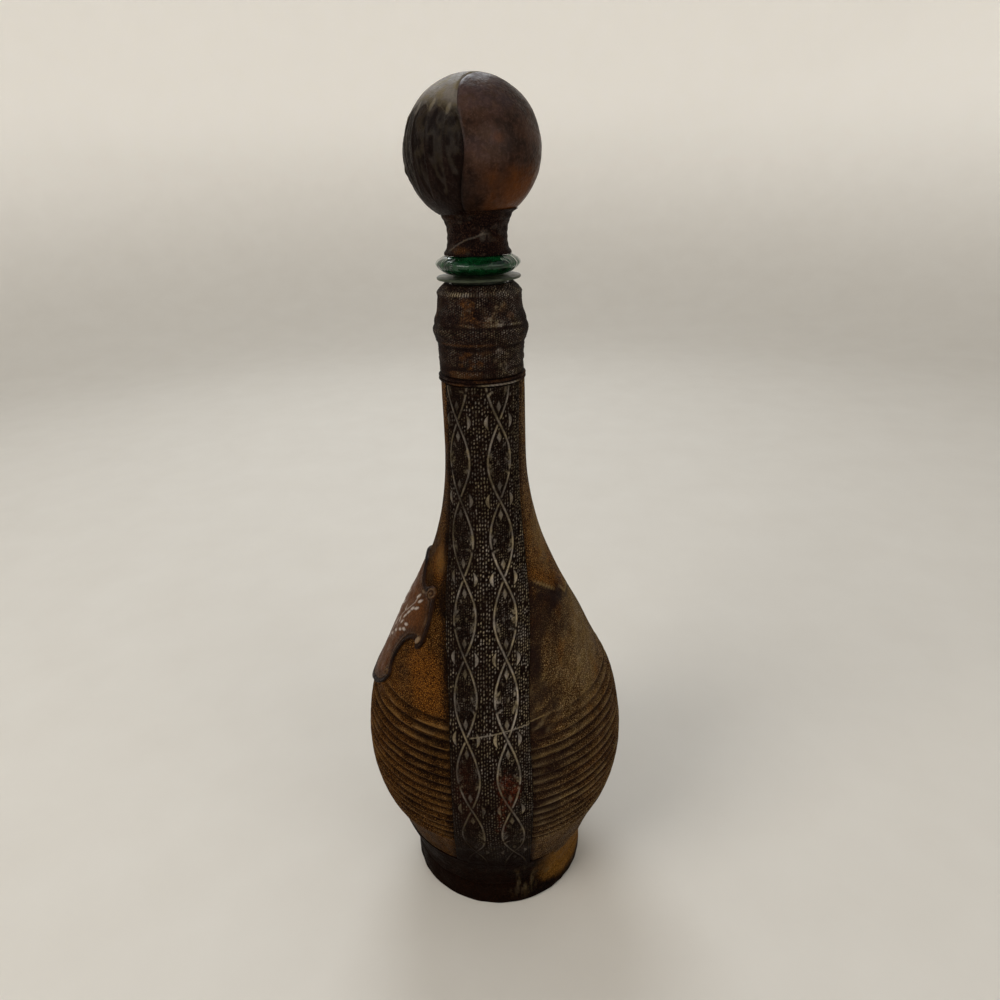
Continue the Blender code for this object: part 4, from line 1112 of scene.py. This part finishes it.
def add_ball_strip():
    """The strip over the crown, tooled with long lobes on either side and smooth on top."""
    share = np.linspace(-1, 1, 281)[:, None]
    across = np.linspace(-1, 1, 75)[None, :]
    widest = ball_strip_edge(stem_limit(np.zeros(1)))
    along = share * stem_limit(across * widest)
    aside_end = ball_strip_edge(along) + 0.0004 / BALL_RADIUS
    aside = across * aside_end
    x = aside * BALL_RADIUS / MM
    y = np.abs(along) * BALL_RADIUS / MM
    sign = np.sign(along + 1e-9)
    lobes, carved, tip_glints = np.zeros((3, *x.shape))
    for place, start, half in BALL_LOBES_MM:
        down = np.clip(y - start, 0, None)
        width = half * np.sqrt(unit(down / 3.5)) * (1 - (down / 30) ** 3)
        past = np.abs(x - place - 0.5 * np.sin(y / 6 + place) - 0.4 * sign) - width
        lobes = np.maximum(lobes, step(0.3, -0.3, past) * (y > start))
        carved = np.maximum(carved, step(1.2, 0.2, past) * step(start - 2, start, y))
        bent = x - place - half - 0.4 - 0.3 * rough(y / 1.5, x * 0 + place, 226)
        tip_glints = np.maximum(tip_glints, ellipse(bent, y - start - 0.2, 0.75, 2.3))
    veins = step(0.35, 0.1, np.abs(rough(x / 3.0, y / 7.0, 221))) * lobes
    to_edge = (1 - np.abs(across)) * aside_end * BALL_RADIUS / MM
    height = 0.12 * (carved - lobes) - 0.16 * lobes + 0.10 * veins + 0.22 * rough(x / 8, y / 8, 222)
    height = height - 0.42 * step(1.1, 0.1, to_edge)
    turn = math.radians(KNOB_DEGREES)
    knob = (KNOB_REACH * math.cos(turn), KNOB_REACH * math.sin(turn), STOPPER_Z + BALL_Z - KNOB_DEPTH)
    to_knob = np.linalg.norm(on_ball(BALL_RADIUS, along, aside) - knob, axis=-1) / MM
    height = height + 0.75 * step(2.6, 0.3, to_knob)
    between = step(0.2, 0.8, carved - lobes) * step(34, 24, y)
    # the smooth crown is drawn pale grey: paler leather with a painted sheen. The pale tips between the lobes' tops are
    # painted glints
    upper = step(26, 18, y) * (1 - lobes)
    values = {
        "stain": 0.95 * lobes + 0.6 * step(18, 25, y) * (1 - between) + 0.35 * step(1.0, 0.3, to_edge),
        "worn": 0.74 * upper + 0.10 * between + 0.4 * tip_glints * (1 - lobes) + 0.07 * veins,
        "warm": 0.3 * veins * step(0.0, 0.5, rough(x / 4, y / 6, 225)) + 0.06 * step(34, 44, y),
    }
    skin("leather_ball_strip", on_ball, BALL_RADIUS + height * MM, BALL_RADIUS - LEATHER, along, aside, 8, values)


def ball_gore(name, side, seed, marks):
    """A round gore of smooth leather beside the strip. side is its side of the strip's plane, -1 or 1."""
    gap = FIT_GAP / BALL_RADIUS
    lowest = math.cos(math.asin(BALL_OPENING_RADIUS / BALL_RADIUS) + gap)
    along = all_round(240)
    seam_edge = ball_strip_edge(along) + gap
    below = np.cos(math.pi - np.abs(along))
    reach = np.arccos(np.clip(lowest / np.where(below > lowest, below, 1), -1, 1))
    edge = np.where(below > lowest, np.maximum(seam_edge, reach), seam_edge)
    seam = edge <= seam_edge + 1e-9
    rings = np.linspace(0, 1, 65)[1:-1, None]
    rings = np.concatenate([rings, np.linspace(rings[-1, 0], 1, 5)[1:, None]])
    aside = math.pi / 2 + (edge - math.pi / 2) * rings
    flat = (math.pi / 2 - aside) * BALL_RADIUS / MM
    x = flat * np.sin(along)
    y = flat * np.cos(along)
    to_edge = (aside - edge) * BALL_RADIUS / MM
    height = 0.28 * rough(x / 9, y / 9, seed) + 0.09 * rough(x / 3, y / 3, seed + 1)
    height = height + (0.06 * step(3.5, 1.2, to_edge) - 0.2 * step(0.9, 0.0, to_edge)) * seam
    values = {"stain": 0.45 * step(1.2, 0.2, to_edge) * seam, "warm": 0 * x, "worn": 0 * x}
    outer = on_ball(BALL_RADIUS + height * MM, along + 0 * aside, side * aside)
    marks(outer, values)
    backing = backing_rows(len(rings), 6)
    inner = on_ball(BALL_RADIUS - LEATHER, along + 0 * aside[backing], side * aside[backing])
    poles = on_ball(np.array([BALL_RADIUS, BALL_RADIUS - LEATHER]), np.zeros(2), np.full(2, side * math.pi / 2))
    rows, columns = aside.shape
    backs = len(backing)
    front = np.arange(rows * columns).reshape(rows, columns)
    back = rows * columns + np.arange(backs * columns).reshape(backs, columns)
    pole = (rows + backs) * columns
    faces = []
    for grid, centre in ((front, pole), (back, pole + 1)):
        ring = grid[0].tolist()
        faces += quads(grid, True) + [(centre, *pair) for pair in zip(ring, ring[1:] + ring[:1])]
    faces += quads(np.stack([front[-1], back[-1]]), True)
    blank = np.zeros(backs * columns)
    filled = {
        label: np.concatenate([unit(data).reshape(-1), blank, [unit(data)[0].mean(), 0]])
        for label, data in values.items()
    }
    points = np.concatenate([outer.reshape(-1, 3), inner.reshape(-1, 3), poles])
    make_object(name, points.tolist(), faces, filled)


def gore_marks(points, values):
    """Marks of the gore that faces the camera, placed by direction and height on the ball."""
    x, y, z = np.moveaxis(points, -1, 0)
    degrees = np.degrees(np.arctan2(y, x))
    up = (z - STOPPER_Z - BALL_Z) / MM
    amber = spot(degrees, up, 54, -14, 50, 10.5, 0.35 * rough(degrees / 9, up / 4, 231), (1.2, 0.2))
    values["warm"] += 0.95 * amber + 0.5 * spot(degrees, up, 24, 3, 6, 2.0)
    values["stain"] += 0.3 * step(0.0, 0.5, rough(degrees / 20, up / 6, 232)) + 0.7 * spot(degrees, up, -4, -14, 20, 10)
    # the purple-grey middle is a painted sheen. The gore is also lighter towards the top
    plum_sheen = spot(degrees, up, 14, 1, 24, 7, 0.3 * rough(degrees / 8, up / 3, 233))
    values["worn"] += 0.2 * plum_sheen + 0.3 * step(6, 15, up) * step(70, 30, degrees)


def far_gore_marks(points, values):
    """Marks of the other gore. Its direction is measured from the far side."""
    x, y, z = np.moveaxis(points, -1, 0)
    degrees = np.degrees(np.arctan2(-y, -x))
    up = (z - STOPPER_Z - BALL_Z) / MM
    values["warm"] += 0.7 * spot(degrees, up, 40, -6, 40, 12)
    values["stain"] += 0.4 * step(0.0, 0.5, rough(degrees / 18, up / 7, 234))


def add_stem():
    """The stem's wrap, rolled at its foot and folded over itself on a slant."""
    start = FLANGE_THICKNESS + FIT_GAP
    end = FLANGE_THICKNESS + STEM_LENGTH + 0.0010
    angle = all_round(220)
    z = np.linspace(start, end, 71)[:, None]
    share = (z - start) / (end - start)
    ball = np.sqrt(np.clip(BALL_RADIUS**2 - (BALL_Z - z) ** 2, 0, None))
    knots = ((0, WRAP_FOOT_RADIUS), (0.22, STEM_RADIUS), (0.56, STEM_RADIUS - 0.0001), (0.75, 0.0117), (0.88, 0.0128))
    radius = over(smooth(knots, share), ball + 0.0002, step(0.80, 1.0, share))
    degrees = np.degrees(angle) + 0 * z
    up = z / MM + 0 * angle
    s = angle * STEM_RADIUS / MM
    fold_up = 9.0 + 5.2 * unit((degrees + 48) / 62) ** 0.75 + 0.25 * wander(s / 3, 241)
    span = step(-66, -48, degrees) * step(34, 14, degrees)
    fold = step(0.5, 0.12, np.abs(up - fold_up)) * span
    # the band under the fold is darkened as the fold's painted shadow. The fold's ridge is lightened, partly as wear
    # and partly as painted highlight
    shaded_under_fold = step(0.0, 1.2, fold_up - up) * step(2.6, 1.0, fold_up - up) * span
    rings = np.sin(up * 2.6 + 0.8 * noise(s / 6, up / 6, 242))
    height = 0.22 * fold - 0.14 * shaded_under_fold + 0.08 * rings + 0.16 * rough(s / 4, up / 4, 243)
    height = height + 0.2 * step(1.4, 0.5, up - start / MM)
    seam = step(0.9, 0.2, np.abs(degrees - 118) * STEM_RADIUS / MM / DEGREES)
    height = (height - 0.4 * seam) * (1 - 0.9 * step(0.86, 0.98, share))
    smear = spot(degrees, up, 14, 13.4, 7, 2.2, limits=(1.1, 0.4))
    ember = spot(degrees, up, -30, 9.0, 20, 1.5, 0.4 * rough(s / 2, up / 2, 245), (1.1, 0.5))
    values = {
        "worn": 0.16 * fold + 0.12 * smear + 0.05 * step(0.1, 0.6, rough(s / 2.5, up / 2, 244)),
        "warm": 0.3 * ember + 0.06 * step(0.2, 0.6, rough(s / 4, up / 3, 247)),
        "stain": 0.5 * shaded_under_fold + 0.6 * seam + 0.3 * step(0.0, 0.6, rough(s / 5, up / 5, 246)),
    }
    behind = radius - LEATHER * step(1.0, 0.8, share) - 0.0001
    angle = angle - math.radians(STOPPER_TURN)
    skin("leather_stem", on_stem, radius + height * MM, behind, angle, z, 10, values, closed=True)


# ---------------------------------------------------------------- glass, plastic and pad

GLASS_SIDES = 128
GLASS_WALL = 0.0030
BORE_RADIUS = 0.0103
BASE_THICKNESS = 0.0045
PUNT_HEIGHT = 0.0055
HEEL_ROUND = 0.0022
PAD_THICKNESS = 0.0016
GLASS_Z = PAD_THICKNESS + FIT_GAP
SKIN = LEATHER + FIT_GAP
# the seal's fins, sleeve and bore, and how far it reaches above and below the mouth
FIN_RADIUS = BORE_RADIUS - FIT_GAP
FIN_LEVELS = (-0.0080, -0.0132, -0.0184)
SLEEVE_RADIUS = FIN_RADIUS - 0.0014
SEAL_BORE_RADIUS = SLEEVE_RADIUS - 0.0012
SEAL_TOP = 0.0026
SEAL_DEPTH = 0.0230
# outside this radius the seal's disc and the glass flange are slightly uneven
RIM_START = 0.0125


def turned(name, outline, wave=lambda angle, radius: 0, sharp=35.0):
    """Turns a closed outline of (radius, height) about Z. wave gives the change of radius at each point."""
    ring_of = []
    points = []
    for radius, z in outline:
        if radius == 0:
            ring_of.append([len(points)] * GLASS_SIDES)
            points.append((0.0, 0.0, z))
            continue
        ring_of.append(list(range(len(points), len(points) + GLASS_SIDES)))
        for k in range(GLASS_SIDES):
            angle = k * math.tau / GLASS_SIDES
            reach = radius + wave(angle, radius)
            points.append((reach * math.cos(angle), reach * math.sin(angle), z))
    faces = []
    for ring, after in zip(ring_of, ring_of[1:] + ring_of[:1]):
        for k in range(GLASS_SIDES):
            corner = [ring[k], ring[(k + 1) % GLASS_SIDES], after[(k + 1) % GLASS_SIDES], after[k]]
            face = list(dict.fromkeys(corner))
            if len(face) > 2:
                faces.append(face)
    make_object(name, points, faces, {}, sharp)


def evenly(start, end, count):
    """The ends and the places between them of so many equal parts."""
    return [start + (end - start) * k / count for k in range(count + 1)]


def add_bottle_glass():
    """The blown bottle inside the leather."""
    foot = FOOT_RADIUS - SKIN
    outline = [(0, GLASS_Z + PUNT_HEIGHT)]
    outline += [((foot - 2 * HEEL_ROUND) * k, GLASS_Z + PUNT_HEIGHT * (1 - k**3)) for k in evenly(0, 1, 8)[1:]]
    outline.append((foot - HEEL_ROUND, GLASS_Z))
    for z in evenly(GLASS_Z + HEEL_ROUND, COLLAR_Z, 60):
        outline.append((float(outline_radius(max(z, FOOT_HEIGHT))) - SKIN - GROOVE_ROOM, z))
    for z in evenly(COLLAR_Z, COLLAR_Z + COLLAR_RISE * COLLAR_SHARES[-1][0], 16)[1:]:
        outline.append((float(collar_radius(z)) - SKIN, z))
    rim = float(collar_radius(MOUTH_Z)) - SKIN
    outline += [(rim, MOUTH_Z - 0.0004), (rim - 0.0003, MOUTH_Z), (BORE_RADIUS + 0.0003, MOUTH_Z)]
    outline += [(BORE_RADIUS, MOUTH_Z - 0.0003), (BORE_RADIUS, COLLAR_Z)]
    for z in evenly(COLLAR_Z - 0.004, GLASS_Z + BASE_THICKNESS + HEEL_ROUND, 50):
        outline.append((float(outline_radius(max(z, FOOT_HEIGHT))) - SKIN - GLASS_WALL - 0.0004, z))
    heel_z = GLASS_Z + BASE_THICKNESS
    outline += [(foot - GLASS_WALL - HEEL_ROUND, heel_z), ((foot - GLASS_WALL) / 2, heel_z + PUNT_HEIGHT / 2)]
    outline.append((0, heel_z + PUNT_HEIGHT))
    turned("bottle_glass", outline)


def add_seal():
    """The plastic sleeve with its raked fins and its disc, whose moulded edges are slightly rounded."""
    shank = FIN_RADIUS - 0.0005
    disc_radius, disc_low, disc_high, soft = 0.0155, 0.0013, 0.0022, 0.0002
    outline = [(SEAL_BORE_RADIUS, SEAL_TOP), (shank - soft, SEAL_TOP), (shank, SEAL_TOP - soft)]
    outline += [(shank, disc_high + soft), (shank + soft, disc_high), (disc_radius - soft, disc_high)]
    outline += [(disc_radius, disc_high - soft), (disc_radius, disc_low + soft), (disc_radius - soft, disc_low)]
    outline += [(shank + soft, disc_low), (shank, disc_low - soft), (shank, -0.0048), (SLEEVE_RADIUS, -0.0058)]
    for z in FIN_LEVELS:
        outline += [(SLEEVE_RADIUS, z), (FIN_RADIUS, z + 0.0007), (FIN_RADIUS, z + 0.0002), (SLEEVE_RADIUS, z - 0.0010)]
    outline += [(SLEEVE_RADIUS, -SEAL_DEPTH), (SEAL_BORE_RADIUS, -SEAL_DEPTH)]

    def warp(angle, radius):
        return 0.00012 * math.sin(2 * angle + 1) if radius > RIM_START else 0

    turned("plastic_seal", [(radius, z + MOUTH_Z) for radius, z in outline], warp)


def add_stopper_glass():
    """Ball, stem, flange and peg in one piece of glass, the flange pressed a little unevenly."""
    stem = STEM_RADIUS - SKIN - 0.0004
    ball = BALL_RADIUS - SKIN - 0.0002
    hollow = ball - 0.0026
    peg = SEAL_BORE_RADIUS - FIT_GAP
    peg_bore = peg - 0.0025
    peg_length = SEAL_TOP + FIT_GAP + SEAL_DEPTH + 0.0020
    outline = [(peg_bore, -peg_length), (peg, -peg_length), (peg, 0)]
    knots = np.linspace(0, 1, len(FLANGE_SHARES))
    heights, reaches = (smooth(list(zip(knots, shares)), np.linspace(0, 1, 33)) for shares in zip(*FLANGE_SHARES))
    outline += list(zip((reaches * FLANGE_RADIUS).tolist(), (heights * FLANGE_THICKNESS).tolist()))
    outline.append((stem, FLANGE_THICKNESS))
    for turn in evenly(math.asin(stem / ball), math.pi, 30)[:-1]:
        outline.append((ball * math.sin(turn), BALL_Z - ball * math.cos(turn)))
    outline += [(0, BALL_Z + ball), (0, BALL_Z + hollow)]
    for turn in evenly(math.pi, math.asin(peg_bore / hollow), 24)[1:]:
        outline.append((hollow * math.sin(turn), BALL_Z - hollow * math.cos(turn)))

    def press(angle, radius):
        share = max(0, (radius - RIM_START) / (FLANGE_RADIUS - RIM_START))
        return 0.00018 * share * (math.sin(3 * angle + 0.6) + 0.6 * math.sin(7 * angle + 2))

    turned("stopper_green_glass", [(radius, z + STOPPER_Z) for radius, z in outline], press, 50.0)


def add_pad():
    """The felt pad that the bottle stands on."""
    radius = FOOT_RADIUS - SKIN
    soft = 0.0003
    outline = [(0, 0), (radius - soft, 0), (radius, soft), (radius, PAD_THICKNESS - soft)]
    turned("felt_pad", outline + [(radius - soft, PAD_THICKNESS), (0, PAD_THICKNESS)])


# ---------------------------------------------------------------- stage, camera and light

CAMERA_AZIMUTH = 4.3
CAMERA_PLACE = (0.28400, 0.02135, 0.3080)
CAMERA_PITCH = 23.24
CAMERA_ROLL = -2.09
CAMERA_LENS_MM = 27.04
CAMERA_SHIFT = (0.0131, 0.0005)
FLOOR_RADIUS = 1.2
WALL_ROUND = 0.6
WALL_TOP = 2.0
STAGE_SIDES = 96
# the lamps' names, places, sizes, powers and colours
LAMPS = (
    ("key", (0.75, -0.85, 0.95), 0.7, 8.0, (1.0, 0.97, 0.92)),
    ("fill", (0.8, 0.9, 0.6), 0.8, 3.2, (1.0, 0.98, 0.95)),
    ("rim", (-0.9, -0.2, 1.1), 0.6, 6.0, (0.9, 0.95, 1.0)),
)
LAMP_TARGET = (0, 0, 0.16)


def add_camera():
    """The camera that fits the photograph."""
    data = bpy.data.cameras.new("camera")
    data.sensor_width = 36.0
    data.lens = CAMERA_LENS_MM
    data.shift_x, data.shift_y = CAMERA_SHIFT
    data.clip_start = 0.01
    camera = bpy.data.objects.new("camera", data)
    azimuth = math.radians(CAMERA_AZIMUTH)
    pitch = math.radians(CAMERA_PITCH)
    forward = Vector((-math.cos(azimuth) * math.cos(pitch), -math.sin(azimuth) * math.cos(pitch), -math.sin(pitch)))
    turn = forward.to_track_quat("-Z", "Y").to_matrix() @ Matrix.Rotation(math.radians(CAMERA_ROLL), 3, "Z")
    camera.matrix_world = Matrix.Translation(CAMERA_PLACE) @ turn.to_4x4()
    bpy.context.scene.collection.objects.link(camera)
    bpy.context.scene.camera = camera


def add_lamp(name, place, size, power, colour):
    """A square lamp that points at the middle of the bottle."""
    data = bpy.data.lights.new(name, "AREA")
    data.size = size
    data.energy = power
    data.color = colour
    lamp = bpy.data.objects.new(name, data)
    aim = Vector(LAMP_TARGET) - Vector(place)
    lamp.matrix_world = Matrix.Translation(place) @ aim.to_track_quat("-Z", "Y").to_matrix().to_4x4()
    bpy.context.scene.collection.objects.link(lamp)


def add_stage():
    """A plain pale dish whose wall curves up behind the object on every side."""
    outline = [(0.5, 0.0), (FLOOR_RADIUS, 0.0)]
    for turn in np.linspace(0, math.pi / 2, 9)[1:]:
        outline.append((FLOOR_RADIUS + WALL_ROUND * math.sin(turn), WALL_ROUND * (1 - math.cos(turn))))
    outline.append((FLOOR_RADIUS + WALL_ROUND, WALL_TOP))
    points = [(0.0, 0.0, 0.0)]
    for radius, z in outline:
        for k in range(STAGE_SIDES):
            turn = k * math.tau / STAGE_SIDES
            points.append((radius * math.cos(turn), radius * math.sin(turn), z))
    grid = 1 + np.arange(len(outline) * STAGE_SIDES).reshape(-1, STAGE_SIDES)
    first = grid[0].tolist()
    faces = [(0, *pair) for pair in zip(first, first[1:] + first[:1])]
    faces += [(face[0], face[3], face[2], face[1]) for face in quads(grid, True)]
    mesh = bpy.data.meshes.new("stage")
    mesh.from_pydata(points, [], faces)
    mesh.shade_smooth()
    look = Look("pale floor", Roughness=0.7, Specular_IOR_Level=0.2)
    look.put(look.shader, "Base Color", look.mix(look.grain(0.05, 4.0), srgb(222, 216, 206), srgb(230, 225, 216)))
    path = look.add("ShaderNodeLightPath").outputs
    through = look.math("MAXIMUM", path["Is Glossy Ray"], path["Is Transmission Ray"])
    seen = look.math("MAXIMUM", path["Is Camera Ray"], through)
    height = look.add("ShaderNodeSeparateXYZ", {"Vector": look.place}).outputs["Z"]
    look.put(look.shader, "Emission Color", (1.0, 0.96, 0.89))
    look.put(look.shader, "Emission Strength", look.math("MULTIPLY", seen, look.ramp(height, 0.0, 0.5, 0.0, 0.33)))
    mesh.materials.append(look.material)
    floor = bpy.data.objects.new("stage", mesh)
    bpy.context.scene.collection.objects.link(floor)


def add_light():
    """A dim cool sky and three soft lamps."""
    world = bpy.data.worlds.new("world")
    bpy.context.scene.world = world
    world.use_nodes = True
    sky = world.node_tree.nodes["Background"].inputs
    sky["Color"].default_value = (0.93, 0.96, 1.0, 1)
    sky["Strength"].default_value = 0.36
    for lamp in LAMPS:
        add_lamp(*lamp)


def dress():
    """Makes every piece of the object."""
    side_strip("strip_near", 0, NEAR_LEFT_MM, NEAR_RIGHT_MM, 11, near_strip_marks)
    side_strip("strip_far", math.pi, FAR_LEFT_MM, FAR_RIGHT_MM, 37)
    panel("leather_panel_front", (-math.pi, 1, FAR_RIGHT_MM), (0, -1, NEAR_LEFT_MM), 101, front_marks, front_fading)
    panel("leather_panel_back", (0, 1, NEAR_RIGHT_MM), (math.pi, -1, FAR_LEFT_MM), 131, back_marks, back_fading)
    add_foot()
    add_collar()
    add_ring()
    add_shield()
    add_ball_strip()
    ball_gore("leather_gore_back", 1, 251, gore_marks)
    ball_gore("leather_gore_front", -1, 261, far_gore_marks)
    add_stem()
    add_bottle_glass()
    add_seal()
    add_stopper_glass()
    add_pad()


add_camera()
add_stage()
add_light()
dress()

bpy.context.scene.view_settings.view_transform = "Standard"
